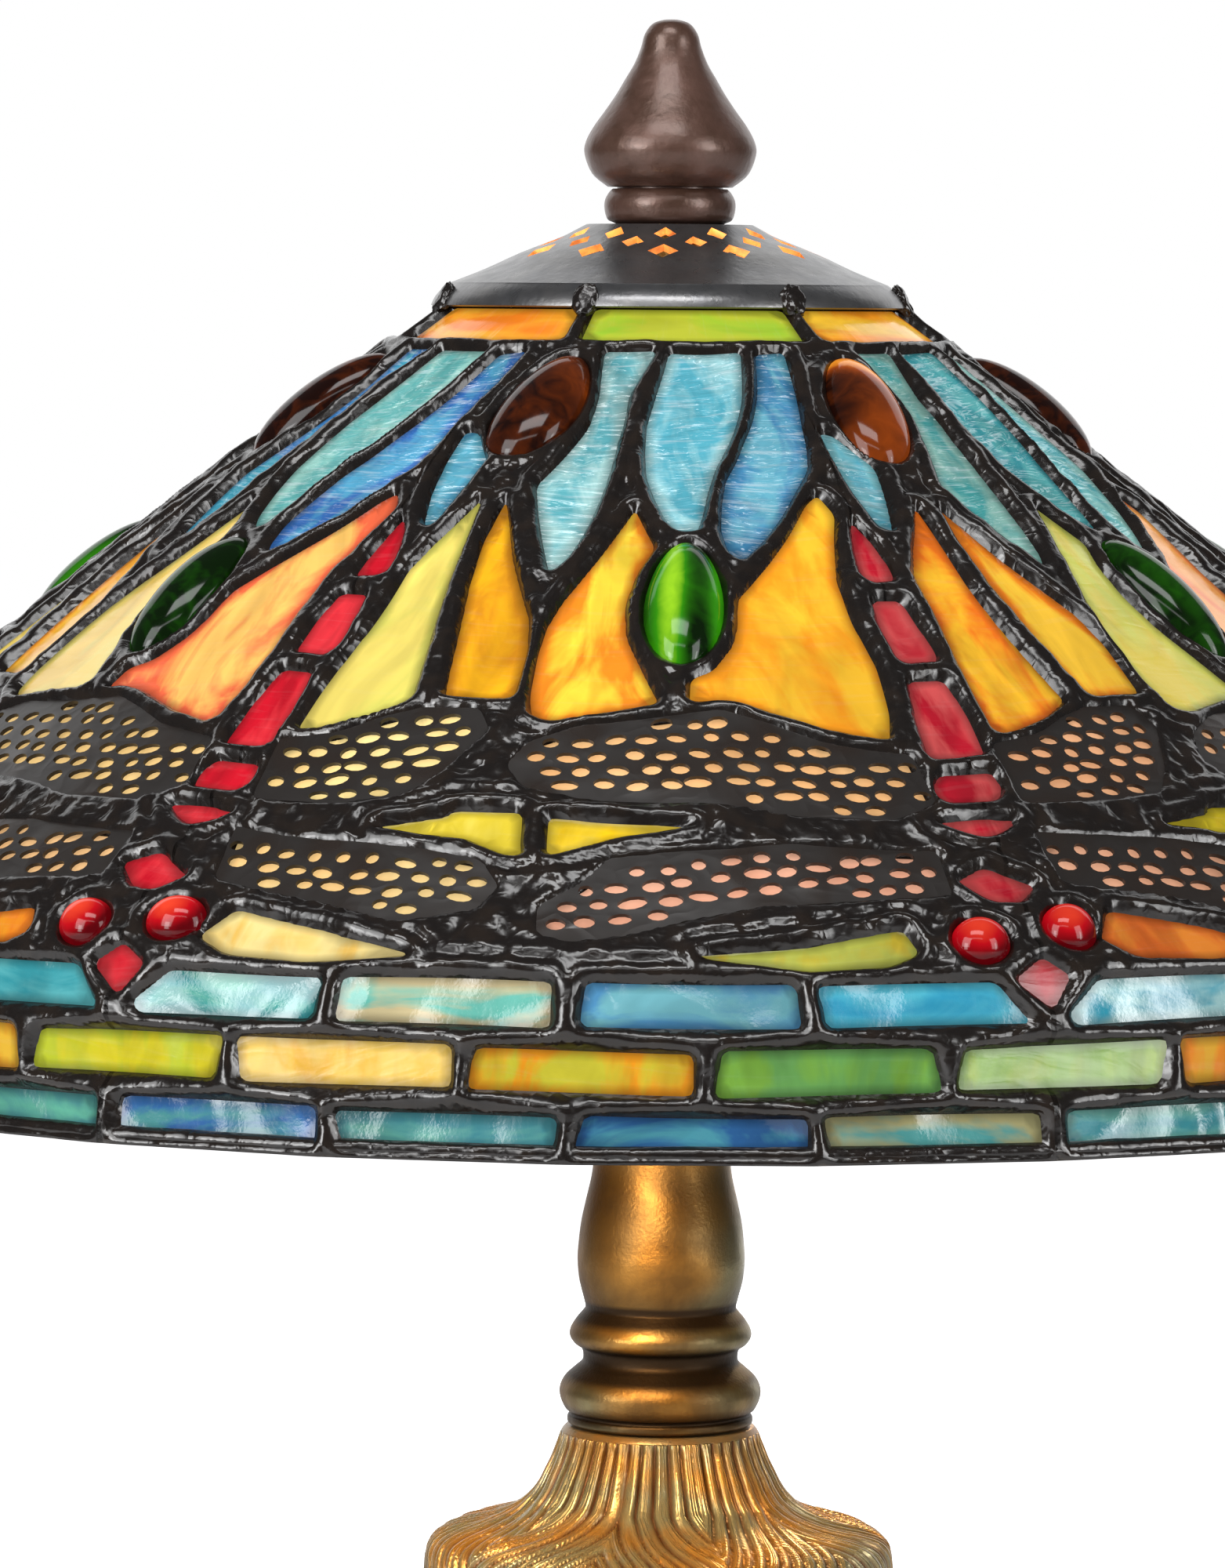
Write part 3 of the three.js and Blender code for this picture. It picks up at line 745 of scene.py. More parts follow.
def sheet_glass_group():
    """Colour and surface of hand-rolled art glass: drawn streaks, thin wisps, ripples, lumps, and
    painted shade towards each pane's edge.
    """
    group, given, out = new_group(
        "Sheet glass",
        {"Grain": (VECTOR, None), "Edge": (FLOAT, 1.0), "Tint": (COLOUR, None),
         "Streak": (COLOUR, None), "Streak scale": (VECTOR, (1, 1, 1)), "Swirl": (FLOAT, 1.0),
         "Wisps": (FLOAT, 0.3), "Ripple": (FLOAT, 1.0), "Lumps": (FLOAT, 0.0)},
        {"Colour": COLOUR, "Height": FLOAT, "Haze": FLOAT})
    drawn = node(group, "ShaderNodeMapping",
                 {"Vector": given["Grain"], "Scale": given["Streak scale"]}).outputs[0]
    streaks = node(group, "ShaderNodeTexNoise", {
        "Vector": drawn, "Scale": 1.0, "Detail": 4.0, "Roughness": 0.55,
        "Distortion": given["Swirl"]}).outputs["Fac"]
    shallow = maths(group, "MULTIPLY_ADD", given["Edge"], -0.16, 0.12)
    drift = maths(group, "ADD", streaks, shallow)
    body = mixed(group, spread(group, drift, 0.42, 0.60), given["Tint"], given["Streak"])
    fine = stretched(group, given["Grain"], (0.75, 8.0, 1), (0, 0, 0.10))
    threads = spread(group, cloud(group, fine, 1.1, 4, 0.62, 0.5), 0.545, 0.64)
    pale = mixed(group, 0.55, body, (0.85, 0.95, 1.0, 1))
    wisped = mixed(group, maths(group, "MULTIPLY", threads, given["Wisps"]), body, pale)
    deep = spread(group, cloud(group, drawn, 0.9, 3, 0.5, 1.5), 0.30, 0.60, 0.70, 1.04)
    # Painted shade: the colour is darkened towards the pane's edge, where it meets the solder.
    rim = spread(group, given["Edge"], 0.05, 0.60, 0.45, 1.0)
    shown = maths(group, "MULTIPLY", deep, rim)
    scaled = node(group, "ShaderNodeVectorMath", {0: wisped, "Scale": shown}, operation="SCALE")
    group.links.new(scaled.outputs[0], out["Colour"])
    waves = stretched(group, given["Grain"], (0.75, 2.9, 1), (0, 0, 0.12))
    ripples = cloud(group, waves, 1.25, 2, 0.5, 1.1)
    lumps = cloud(group, stretched(group, given["Grain"], (0.9, 0.7, 1)), 1.0, 0.5, 0.4, 0.6)
    pits = cloud(group, given["Grain"], 14.0, 2)
    height = maths(group, "ADD",
                   maths(group, "ADD", maths(group, "MULTIPLY", ripples, given["Ripple"]),
                         maths(group, "MULTIPLY", lumps, given["Lumps"])),
                   maths(group, "MULTIPLY", pits, 0.006))
    group.links.new(height, out["Height"])
    group.links.new(spread(group, ripples, 0.3, 0.7, 0.08, 0.24), out["Haze"])
    return group


def puckered_group():
    """Skin of hand-run solder: soft lumps and the drawn wrinkles between them."""
    group, given, out = new_group(
        "Puckered metal", {"Place": (VECTOR, None), "Size": (FLOAT, 1.0)},
        {"Height": FLOAT, "Rub": FLOAT})
    scale = maths(group, "DIVIDE", 1000.0, given["Size"])
    lumps = cloud(group, given["Place"], maths(group, "MULTIPLY", scale, 0.26), 0.4, 0.3, 0.5)
    wrinkles = cloud(group, given["Place"], maths(group, "MULTIPLY", scale, 0.48), 0.5, 0.4, 0.7)
    ridged = maths(group, "ABSOLUTE", maths(group, "SUBTRACT", wrinkles, 0.5))
    height = maths(group, "ADD", lumps, maths(group, "MULTIPLY", ridged, -0.5))
    group.links.new(height, out["Height"])
    group.links.new(spread(group, lumps, 0.45, 0.7), out["Rub"])
    return group


def patina_group():
    """Bronze under a dark wash: rubbed bright on the high places, dark in the hollows."""
    group, given, out = new_group(
        "Patina",
        {"Place": (VECTOR, None), "Hollow": (FLOAT, 0.0), "Rubbed": (COLOUR, None),
         "Dark": (COLOUR, None), "Wash": (COLOUR, None), "Size": (FLOAT, 0.02)},
        {"Colour": COLOUR, "Roughness": FLOAT, "Height": FLOAT})
    scale = maths(group, "DIVIDE", 1.0, given["Size"])
    patches = cloud(group, given["Place"], scale, 5, 0.6, 0.8)
    brushed = stretched(group, given["Place"], (900, 900, 120))
    streaks = cloud(group, brushed, 1.0, 3, 0.6)
    worn = spread(group, maths(group, "ADD", patches, maths(group, "MULTIPLY", streaks, 0.05)),
                  0.44, 0.72)
    dark = maths(group, "MAXIMUM", maths(group, "SUBTRACT", 1.0, worn), given["Hollow"])
    rubbed = mixed(group, maths(group, "MULTIPLY", dark, 0.75), given["Rubbed"], given["Dark"])
    washed = mixed(group, given["Hollow"], rubbed, given["Wash"])
    group.links.new(washed, out["Colour"])
    group.links.new(spread(group, dark, 0.0, 1.0, 0.26, 0.48), out["Roughness"])
    specks = cloud(group, given["Place"], 1800.0, 3)
    height = maths(group, "ADD", maths(group, "MULTIPLY", streaks, 0.2), specks)
    group.links.new(height, out["Height"])
    return group


def group_named(name):
    if name not in GROUPS:
        GROUPS[name] = {
            "glow": lamp_glow_group, "glass": sheet_glass_group, "pucker": puckered_group,
            "patina": patina_group,
        }[name]()
    return GROUPS[name]


def new_material(name, **shader):
    """A material with a Principled shader; keyword names are its sockets' names in snake case."""
    material = bpy.data.materials.new(name)
    material.use_nodes = True
    tree = material.node_tree
    principled = tree.nodes["Principled BSDF"]
    for key, value in shader.items():
        socket = principled.inputs[key.replace("_", " ").title().replace("Ior", "IOR")]
        socket.default_value = value
    place = node(tree, "ShaderNodeTexCoord").outputs["Object"]
    return material, tree, principled, place


def bump(tree, principled, height, strength, distance):
    made = node(tree, "ShaderNodeBump",
                {"Height": height, "Strength": strength, "Distance": distance})
    tree.links.new(made.outputs[0], principled.inputs["Normal"])


def bulb_centre(side):
    low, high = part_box(f"{side}_bulb_glass")
    return (low + high) / 2


def glow_at(tree, place, glow=1.0):
    lamp = settings().light
    return use_group(tree, group_named("glow"), {
        "Place": place, "Front bulb": bulb_centre("front"), "Back bulb": bulb_centre("back"),
        "Reach": lamp.reach * MM, "Glow": lamp.glow * glow})["Glow"]


def lit(tree, principled, colour, glow, base_share=0.16):
    """Feeds a glass colour to the shader as seen with light behind it."""
    shown = node(tree, "ShaderNodeVectorMath", {0: colour, "Scale": glow}, operation="SCALE")
    tree.links.new(shown.outputs[0], principled.inputs["Emission Color"])
    principled.inputs["Emission Strength"].default_value = 1.0
    body = mixed(tree, 1 - base_share, colour, (0, 0, 0, 1))
    tree.links.new(body, principled.inputs["Base Color"])


def sheet_glass(name, streak_scale, swirl, wisps, ripple, lumps, relief, glow):
    """Opalescent sheet glass that takes its two tints from each pane."""
    material, tree, principled, place = new_material(name, ior=1.50)
    grain = node(tree, "ShaderNodeUVMap", uv_map="grain").outputs[0]
    edge = node(tree, "ShaderNodeAttribute", attribute_name="edge").outputs["Fac"]
    tint = node(tree, "ShaderNodeAttribute", attribute_name="tint").outputs["Color"]
    streak = node(tree, "ShaderNodeAttribute", attribute_name="streak").outputs["Color"]
    sheet = use_group(tree, group_named("glass"), {
        "Grain": grain, "Edge": edge, "Tint": tint, "Streak": streak,
        "Streak scale": streak_scale, "Swirl": swirl, "Wisps": wisps, "Ripple": ripple,
        "Lumps": lumps})
    lit(tree, principled, sheet["Colour"], glow_at(tree, place, glow))
    tree.links.new(sheet["Haze"], principled.inputs["Roughness"])
    bump(tree, principled, sheet["Height"], 1.0, relief)
    return material


def jewel_glass(name, edge, middle, heart, glow):
    """A pressed glass jewel with painted light: edge colour where it catches least light, heart
    colour where most.
    """
    material, tree, principled, place = new_material(
        name, roughness=0.10, ior=1.45, specular_ior_level=0.3)
    # Painted light: the 'depth' attribute holds how much light each place of the jewel is painted as
    # catching. It is not a depth.
    depth = node(tree, "ShaderNodeAttribute", attribute_name="depth").outputs["Fac"]
    waves = cloud(tree, place, 210.0, 2, 0.5, 1.6)
    caught = maths(tree, "ADD", depth, maths(tree, "MULTIPLY_ADD", waves, 0.24, -0.12), clamp=True)
    low = mixed(tree, spread(tree, caught, 0.0, 0.5), linear(edge), linear(middle))
    colour = mixed(tree, spread(tree, caught, 0.5, 1.0), low, linear(heart))
    lit(tree, principled, colour, glow_at(tree, place, glow), 0.10)
    return material


def solder_metal():
    shade = settings().shade
    material, tree, principled, place = new_material("waxed_solder", ior=1.52)
    skin = use_group(tree, group_named("pucker"), {"Place": place, "Size": 1.0})
    base = (*shade.solder_colour, 1)
    colour = mixed(tree, maths(tree, "MULTIPLY", skin["Rub"], 0.6), base, (0.016, 0.011, 0.008, 1))
    tree.links.new(colour, principled.inputs["Base Color"])
    tree.links.new(spread(tree, skin["Rub"], 0, 1, 0.22, 0.13), principled.inputs["Roughness"])
    bump(tree, principled, skin["Height"], 0.8, 0.00045)
    return material


def wing_metal():
    shade = settings().shade
    material, tree, principled, place = new_material("wing_metal", ior=1.55)
    skin = use_group(tree, group_named("pucker"), {"Place": place, "Size": 2.2})
    base = (*shade.wing_colour, 1)
    colour = mixed(tree, skin["Rub"], base, (0.015, 0.010, 0.0075, 1))
    tree.links.new(colour, principled.inputs["Base Color"])
    tree.links.new(spread(tree, skin["Rub"], 0, 1, 0.40, 0.26), principled.inputs["Roughness"])
    bump(tree, principled, skin["Height"], 0.4, 0.0006)
    return material


def cap_metal():
    shade = settings().shade
    material, tree, principled, place = new_material("gunmetal_cap", metallic=0.9)
    grime = cloud(tree, place, 90.0, 5, 0.6, 0.5)
    colour = mixed(tree, spread(tree, grime, 0.35, 0.7), (*shade.cap_colour, 1),
                   (0.20, 0.195, 0.19, 1))
    tree.links.new(colour, principled.inputs["Base Color"])
    streaks = cloud(tree, stretched(tree, place, (420, 420, 90)), 1.0, 3)
    tree.links.new(spread(tree, streaks, 0.3, 0.7, 0.26, 0.34), principled.inputs["Roughness"])
    specks = cloud(tree, place, 1100.0, 2)
    height = maths(tree, "ADD", maths(tree, "MULTIPLY", streaks, 0.9), specks)
    bump(tree, principled, height, 0.3, 0.00012)
    return material


def finial_metal():
    shade = settings().shade
    material, tree, principled, place = new_material(
        "mahogany_bronze", metallic=0.45, coat_weight=0.25, coat_roughness=0.22)
    grime = cloud(tree, place, 130.0, 5, 0.6, 0.5)
    colour = mixed(tree, spread(tree, grime, 0.35, 0.7), (*shade.finial_colour, 1),
                   (0.105, 0.052, 0.038, 1))
    tree.links.new(colour, principled.inputs["Base Color"])
    tree.links.new(spread(tree, grime, 0.3, 0.7, 0.30, 0.46), principled.inputs["Roughness"])
    pebbles = cloud(tree, place, 520.0, 3, 0.5)
    bump(tree, principled, pebbles, 0.5, 0.0003)
    return material


def turned_bronze():
    """The column: dark patina rubbed back to gold, greener on its rings."""
    base = settings().base
    material, tree, principled, place = new_material("turned_bronze", metallic=0.9)
    hollow = node(tree, "ShaderNodeAttribute", attribute_name="hollow").outputs["Fac"]
    patches = spread(tree, cloud(tree, place, 34.0, 2), 0.42, 0.60)
    rubbed = mixed(tree, patches, (*base.gold, 1), (*base.olive, 1))
    skin = use_group(tree, group_named("patina"), {
        "Place": place, "Hollow": hollow, "Rubbed": rubbed, "Dark": (*base.patina, 1),
        "Wash": (0.026, 0.015, 0.007, 1), "Size": 0.030})
    tree.links.new(skin["Colour"], principled.inputs["Base Color"])
    tree.links.new(skin["Roughness"], principled.inputs["Roughness"])
    bump(tree, principled, skin["Height"], 0.3, 0.0002)
    return material


def bark_bronze():
    """The castings: green-gold on the ribs, a red-brown wash between them."""
    base = settings().base
    material, tree, principled, place = new_material("bark_bronze", metallic=0.55)
    hollow = node(tree, "ShaderNodeAttribute", attribute_name="hollow").outputs["Fac"]
    grain = node(tree, "ShaderNodeUVMap", uv_map="bark").outputs[0]
    fine = cloud(tree, stretched(tree, grain, (0.7, 0.16, 1)), 1.0, 2, 0.5, 0.2)
    groove = spread(tree, maths(tree, "ABSOLUTE", maths(tree, "SUBTRACT", fine, 0.5)),
                    0.0, 0.07, 1.0, 0.0)
    deep = maths(tree, "MAXIMUM", maths(tree, "MULTIPLY", groove, 0.35), hollow)
    patches = spread(tree, cloud(tree, place, 85.0, 3), 0.40, 0.60)
    rubbed = mixed(tree, patches, (*base.gold, 1), (*base.olive, 1))
    colour = mixed(tree, spread(tree, deep, 0.15, 0.85), rubbed, (*base.crevice, 1))
    tree.links.new(colour, principled.inputs["Base Color"])
    tree.links.new(spread(tree, deep, 0, 1, 0.20, 0.46), principled.inputs["Roughness"])
    specks = cloud(tree, place, 1600.0, 2)
    height = maths(tree, "SUBTRACT", maths(tree, "MULTIPLY", specks, 0.12), deep)
    bump(tree, principled, height, 0.9, 0.0006)
    return material


def plain_metal(name, colour, metallic, rough_low, rough_high, scale=300.0, height=0.0002):
    """Brushed or cast metal for the fittings inside."""
    material, tree, principled, place = new_material(name, metallic=metallic)
    grime = cloud(tree, place, scale, 4, 0.6, 0.4)
    shade = mixed(tree, spread(tree, grime, 0.35, 0.7), (*colour, 1),
                  (*(c * 0.55 for c in colour), 1))
    tree.links.new(shade, principled.inputs["Base Color"])
    tree.links.new(spread(tree, grime, 0.3, 0.7, rough_low, rough_high),
                   principled.inputs["Roughness"])
    bump(tree, principled, cloud(tree, place, scale * 6, 3), 0.4, height)
    return material


def lit_bulb():
    lamp = settings().light
    material, tree, principled, place = new_material("lit_bulb", roughness=0.35)
    frost = cloud(tree, place, 400.0, 3)
    colour = mixed(tree, spread(tree, frost, 0.4, 0.6, 0.0, 0.25), (*lamp.bulb_colour, 1),
                   (1.0, 0.86, 0.62, 1))
    tree.links.new(colour, principled.inputs["Emission Color"])
    principled.inputs["Base Color"].default_value = (0.8, 0.76, 0.68, 1)
    principled.inputs["Emission Strength"].default_value = lamp.bulb_strength
    bump(tree, principled, frost, 0.2, 0.0001)
    return material


def painted_glow_inside():
    """Metal inside the cap with a painted glow that stands for the bulbs' light on it, seen through
    the vents.
    """
    material, tree, principled, place = new_material("painted_glow_inside", metallic=0.3, roughness=0.5)
    mottle = cloud(tree, place, 220.0, 4, 0.6, 0.6)
    colour = mixed(tree, spread(tree, mottle, 0.35, 0.65), (1.0, 0.36, 0.07, 1),
                   (0.30, 0.07, 0.012, 1))
    tree.links.new(colour, principled.inputs["Emission Color"])
    principled.inputs["Emission Strength"].default_value = 1.0
    tree.links.new(colour, principled.inputs["Base Color"])
    return material


FINISHES = {}


def finish(name):
    """The lamp's materials, each made the first time that a piece asks for it."""
    makers = {
        "rippled_glass": lambda: sheet_glass(
            "rippled_glass", (0.9, 0.55, 1), 1.5, 0.55, 1.0, 0.9, 0.0030, 0.94),
        "smooth_glass": lambda: sheet_glass(
            "smooth_glass", (1.0, 0.34, 1), 1.1, 0.03, 0.04, 0.25, 0.0010, 1.02),
        "opal_bricks": lambda: sheet_glass(
            "opal_bricks", (0.9, 0.4, 1), 1.6, 0.0, 0.0, 0.5, 0.0050, 1.05),
        "wing_backing": lambda: sheet_glass(
            "wing_backing", (0.5, 0.3, 1), 0.5, 0.0, 0.2, 0.0, 0.0006, 0.98),
        "brown_jewel": lambda: jewel_glass(
            "brown_jewel", (28, 9, 5), (160, 70, 16), (255, 160, 44), 1.05),
        "green_jewel": lambda: jewel_glass(
            "green_jewel", (7, 26, 3), (48, 136, 10), (164, 222, 40), 1.0),
        "red_jewel": lambda: jewel_glass(
            "red_jewel", (96, 2, 10), (206, 12, 26), (255, 74, 46), 1.05),
        "solder": solder_metal,
        "wing_metal": wing_metal,
        "cap": cap_metal,
        "finial": finial_metal,
        "turned_bronze": turned_bronze,
        "bark_bronze": bark_bronze,
        "brass": lambda: plain_metal("socket_brass", (0.55, 0.38, 0.13), 0.9, 0.22, 0.4),
        "steel": lambda: plain_metal("zinc_steel", (0.42, 0.42, 0.43), 0.9, 0.3, 0.5),
        "iron": lambda: plain_metal("cast_iron", (0.06, 0.058, 0.055), 0.5, 0.6, 0.85, 500, 0.0005),
        "phenolic": lambda: plain_metal("black_phenolic", (0.02, 0.018, 0.016), 0.0, 0.3, 0.45),
        "felt": lambda: plain_metal("brown_felt", (0.05, 0.03, 0.02), 0.0, 0.9, 1.0, 2500, 0.0006),
        "bulb": lit_bulb,
        "painted_glow_inside": painted_glow_inside,
    }
    if name not in FINISHES:
        FINISHES[name] = makers[name]()
    return FINISHES[name]


# ---------------------------------------------------------------- turned work


def turned(profile, steps=96, closed=False):
    """Spins an outline of (radius, height) pairs in millimetres about the lamp's axis."""
    bm = bmesh.new()
    verts = [bm.verts.new((r * MM, 0, z * MM)) for r, z in profile]
    edges = [bm.edges.new(pair) for pair in zip(verts, verts[1:])]
    if closed:
        edges.append(bm.edges.new((verts[-1], verts[0])))
    bmesh.ops.spin(bm, geom=verts + edges, cent=(0, 0, 0), axis=(0, 0, 1),
                   angle=2 * math.pi, steps=steps, use_merge=True)
    bmesh.ops.remove_doubles(bm, verts=bm.verts[:], dist=1e-6)
    bmesh.ops.recalc_face_normals(bm, faces=bm.faces[:])
    return bm


def smooth_curve(points, steps):
    """A curve through the given points, evenly stepped between each two."""
    ends = [points[0], *points, points[-1]]
    made = []
    for p0, p1, p2, p3 in zip(ends, ends[1:], ends[2:], ends[3:]):
        for i in range(steps):
            t = i / steps
            made.append(tuple(
                0.5 * (2 * b + (c - a) * t + (2 * a - 5 * b + 4 * c - d) * t * t
                       + (3 * b - a - 3 * c + d) * t**3)
                for a, b, c, d in zip(p0, p1, p2, p3)))
    made.append(points[-1])
    return made


def mark_hollows(bm, profile, reach=4.0, depth=1.0):
    """Paints "hollow" where a turned outline dips below the line of what lies round it."""
    layer = bm.verts.layers.float.new("hollow")
    heights = np.array([z for _, z in profile])
    radii = np.array([r for r, _ in profile])
    order = np.argsort(heights)
    heights, radii = heights[order], radii[order]
    for v in bm.verts:
        z, r = v.co.z / MM, math.hypot(v.co.x, v.co.y) / MM
        around = np.interp([z - reach, z + reach], heights, radii)
        v[layer] = float(np.clip((min(around.max(), around.mean() + 2) - r) / depth, 0, 1))


class PieceOperator:
    """What the lamp's operators share."""

    bl_options = {"REGISTER", "UNDO"}


# ---------------------------------------------------------------- operators: the shade


class LAMP_OT_petals(PieceOperator, bpy.types.Operator):
    """Cut the fans of blue rippled glass under the cap"""

    bl_idname = "lamp.petals"
    bl_label = "Petals"

    def execute(self, context):
        for sector in range(SECTORS):
            bm = bmesh.new()
            for name, outline in PETALS.items():
                look = {"colours": fan_look(PETAL_LOOKS[name], sector)}
                add_pane(bm, outline, sector, look, f"{name}{sector}", flat=0.7)
            show(f"petals_{sector + 1}", bm, finish("rippled_glass"), "shade", "blue_glass",
                 f"petal_glass_{sector + 1}")
        return {"FINISHED"}


class LAMP_OT_rays(PieceOperator, bpy.types.Operator):
    """Cut the long amber rays between the dragonflies' tails"""

    bl_idname = "lamp.rays"
    bl_label = "Rays"

    def execute(self, context):
        for sector in range(SECTORS):
            bm = bmesh.new()
            for name, outline in RAYS.items():
                look = {"colours": fan_look(RAY_LOOKS[name], sector)}
                add_pane(bm, outline, sector, look, f"{name}{sector}", flat=0.7)
            show(f"rays_{sector + 1}", bm, finish("smooth_glass"), "shade", "amber_glass",
                 f"ray_glass_{sector + 1}")
        return {"FINISHED"}


class LAMP_OT_tails(PieceOperator, bpy.types.Operator):
    """Cut the red pieces of each dragonfly's body"""

    bl_idname = "lamp.tails"
    bl_label = "Dragonfly bodies"

    def execute(self, context):
        for sector in range(SECTORS):
            bm = bmesh.new()
            for i, outline in enumerate(TAIL):
                look = {"colours": fan_look(TAIL_LOOKS, sector)}
                add_pane(bm, outline, sector, look, f"tail{i}{sector}", flat=0.9)
            show(f"dragonfly_body_{sector + 1}", bm, finish("smooth_glass"), "shade",
                 "red_glass", f"tail_glass_{sector + 1}")
        return {"FINISHED"}


def wing_holes(name, outline):
    """Oval piercings in slanting rows over a wing, kept clear of its edge."""
    rng = random.Random(name)
    points = np.array(outline)
    scale = mm_per_degree(points[:, 1].mean())
    middle = points.mean(0)
    slope = math.radians(WING_SLOPES[name])
    pitch_across, pitch_along = 4.6, 2.95
    holes = []
    for row in range(-7, 8):
        for column in range(-9, 10):
            x = (column + 0.5 * (row % 2)) * pitch_across + rng.uniform(-0.7, 0.7)
            y = row * pitch_along + rng.uniform(-0.35, 0.35)
            length = rng.choice((1.2, 1.45, 1.6, 1.75, 2.0)) * rng.uniform(0.85, 1.1)
            width = rng.uniform(0.95, 1.22)
            lean = slope + rng.uniform(-0.3, 0.3)
            turn = middle[0] + (x * math.cos(slope) + y * math.sin(slope)) / scale
            slant = middle[1] + y * math.cos(slope) - x * math.sin(slope)
            gap = clearance(np.array([turn]), np.array([slant]), outline)[0]
            if gap > -1.5:
                continue
            width = min(width, -gap - 0.65)
            length = min(length, -gap)
            holes.append((turn, slant, length, width, lean))
    return holes


def wing_plate(name):
    """One pierced wing laid out as (turn, slant, lift), with its wall thickness."""
    points, scale = laid_flat(WINGS[name])
    outline = [(x / scale, y) for x, y in points]
    bm = bmesh.new()
    loop = [bm.verts.new((x / scale, y, 0)) for x, y in points]
    for pair in zip(loop, loop[1:] + loop[:1]):
        bm.edges.new(pair)
    for turn, slant, length, width, lean in wing_holes(name, outline):
        ring = bmesh.ops.create_circle(bm, segments=12, radius=1)["verts"]
        for v in ring:
            x, y = v.co.x * length, v.co.y * width
            v.co = Vector((turn + (x * math.cos(lean) + y * math.sin(lean)) / scale,
                           slant + y * math.cos(lean) - x * math.sin(lean), 0))
    bmesh.ops.triangle_fill(bm, edges=bm.edges[:], use_beauty=True, use_dissolve=False,
                            normal=(0, 0, 1))
    made = bmesh.ops.extrude_face_region(bm, geom=bm.faces[:])
    for v in made["geom"]:
        if isinstance(v, bmesh.types.BMVert):
            v.co.z = -0.6
    bmesh.ops.recalc_face_normals(bm, faces=bm.faces[:])
    return bm


class LAMP_OT_wings(PieceOperator, bpy.types.Operator):
    """Lay the pierced wings, with pale glass behind their holes"""

    bl_idname = "lamp.wings"
    bl_label = "Pierced wings"

    def execute(self, context):
        plates = bmesh.new()
        for name in WINGS:
            step = bpy.data.meshes.new("wing")
            bm = wing_plate(name)
            bm.to_mesh(step)
            bm.free()
            plates.from_mesh(step)
            bpy.data.meshes.remove(step)
        for sector in range(SECTORS):
            copy = plates.copy()
            mesh = bpy.data.meshes.new("wings")
            for v in copy.verts:
                v.co.z -= 0.25
            copy.to_mesh(mesh)
            copy.free()
            bend_to_form(mesh, FIRST_DRAGONFLY + sector * SECTOR)
            wings = bmesh.new()
            wings.from_mesh(mesh)
            bpy.data.meshes.remove(mesh)
            show(f"wings_{sector + 1}", wings, finish("wing_metal"), "shade", "wing_glass",
                 f"wing_panel_{sector + 1}", crease=50)

            backing = bmesh.new()
            for name, outline in WINGS.items():
                colour = fan_look(WING_LOOKS[name], sector)
                look = {"colours": (colour, tuple(min(255, c + 14) for c in colour))}
                add_pane(backing, outline, sector, look, f"{name}{sector}", flat=0.0, cell=5.0,
                         lift=-1.25, thickness=1.8)
            show(f"wing_glass_{sector + 1}", backing, finish("wing_backing"), "shade",
                 "wing_glass", f"wing_panel_{sector + 1}")

            between = bmesh.new()
            for name, outline in BETWEEN_WINGS.items():
                look = {"colours": fan_look(BETWEEN_LOOKS[name], sector)}
                add_pane(between, outline, sector, look, f"{name}{sector}", flat=0.6)
            show(f"between_wings_{sector + 1}", between, finish("smooth_glass"), "shade",
                 "amber_glass", f"wing_panel_{sector + 1}")
        plates.free()
        return {"FINISHED"}


def light_caught(kind, x, y, share):
    """How much painted light a jewel shows at a place on its face (glow, bands and highlights), with
    x to the right and y down.
    """
    rim = x * x + y * y
    if kind == "green_jewel":
        # Painted light: a bright band at the left and a highlight near the right edge.
        band = 1 / (1 + math.exp((x + 0.02) * 11)) * smoothstep(x, -1.0, -0.25)
        light = 0.10 + 0.88 * band + 0.42 * math.exp(-(((x - 0.80) / 0.20) ** 2)) - 0.30 * y * y
    elif kind == "brown_jewel":
        # Painted light: a glow in the lower half and a highlight crescent near the top.
        light = 0.10 + 0.26 / (1 + math.exp((0.15 - y - 0.5 * x) * 7))
        light += 0.90 * math.exp(-(((y + 0.66 - 0.35 * x) / 0.26) ** 2)) - 0.08 * rim
    else:
        # Painted light: brightest at the middle and the upper left, shaded towards the rim.
        light = 0.95 - 1.0 * rim - 0.30 * (x + y)
    return max(0.0, min(1.0, light * share))


# Painted light: how much of its painted glow and highlight a jewel shows in the middle fan, the one
# to its right and the one to its left, which then repeat round.
JEWEL_LIGHT_SHARES = {"green_jewel": (1.0, 0.12, 0.06), "brown_jewel": (0.16, 1.0, 0.05),
                "eyes": (1.0, 0.9, 1.0)}


def add_jewel(total, kind, jewel, sector):
    """Adds a domed jewel, seated in the solder, painted with how much light it catches."""
    turn, slant, half_width, half_length, height, lean = jewel
    scale = mm_per_degree(slant)
    bm = bmesh.new()
    bmesh.ops.create_uvsphere(bm, u_segments=40, v_segments=22, radius=1)
    # Painted light: the 'depth' layer holds how much light each place is painted as catching, from
    # light_caught.
    depth = bm.verts.layers.float.new("depth")
    lean = math.radians(lean)
    azimuth = FIRST_DRAGONFLY + sector * SECTOR
    share = fan_look(JEWEL_LIGHT_SHARES[kind], sector)
    margin = 1.06  # the jewel runs on under the solder's edge
    for v in bm.verts:
        x, y, z = v.co
        v[depth] = light_caught(kind, x, y, share)
        x, y = x * half_width * margin, y * half_length * margin
        z = z * (height if z > 0 else 1.6)
        across = (x * math.cos(lean) - y * math.sin(lean)) / scale
        down = x * math.sin(lean) + y * math.cos(lean)
        v.co = on_shade(azimuth + turn + across, slant + down, -1.2 + z)
    bmesh.ops.recalc_face_normals(bm, faces=bm.faces[:])
    step = bpy.data.meshes.new("jewel")
    bm.to_mesh(step)
    bm.free()
    total.from_mesh(step)
    bpy.data.meshes.remove(step)


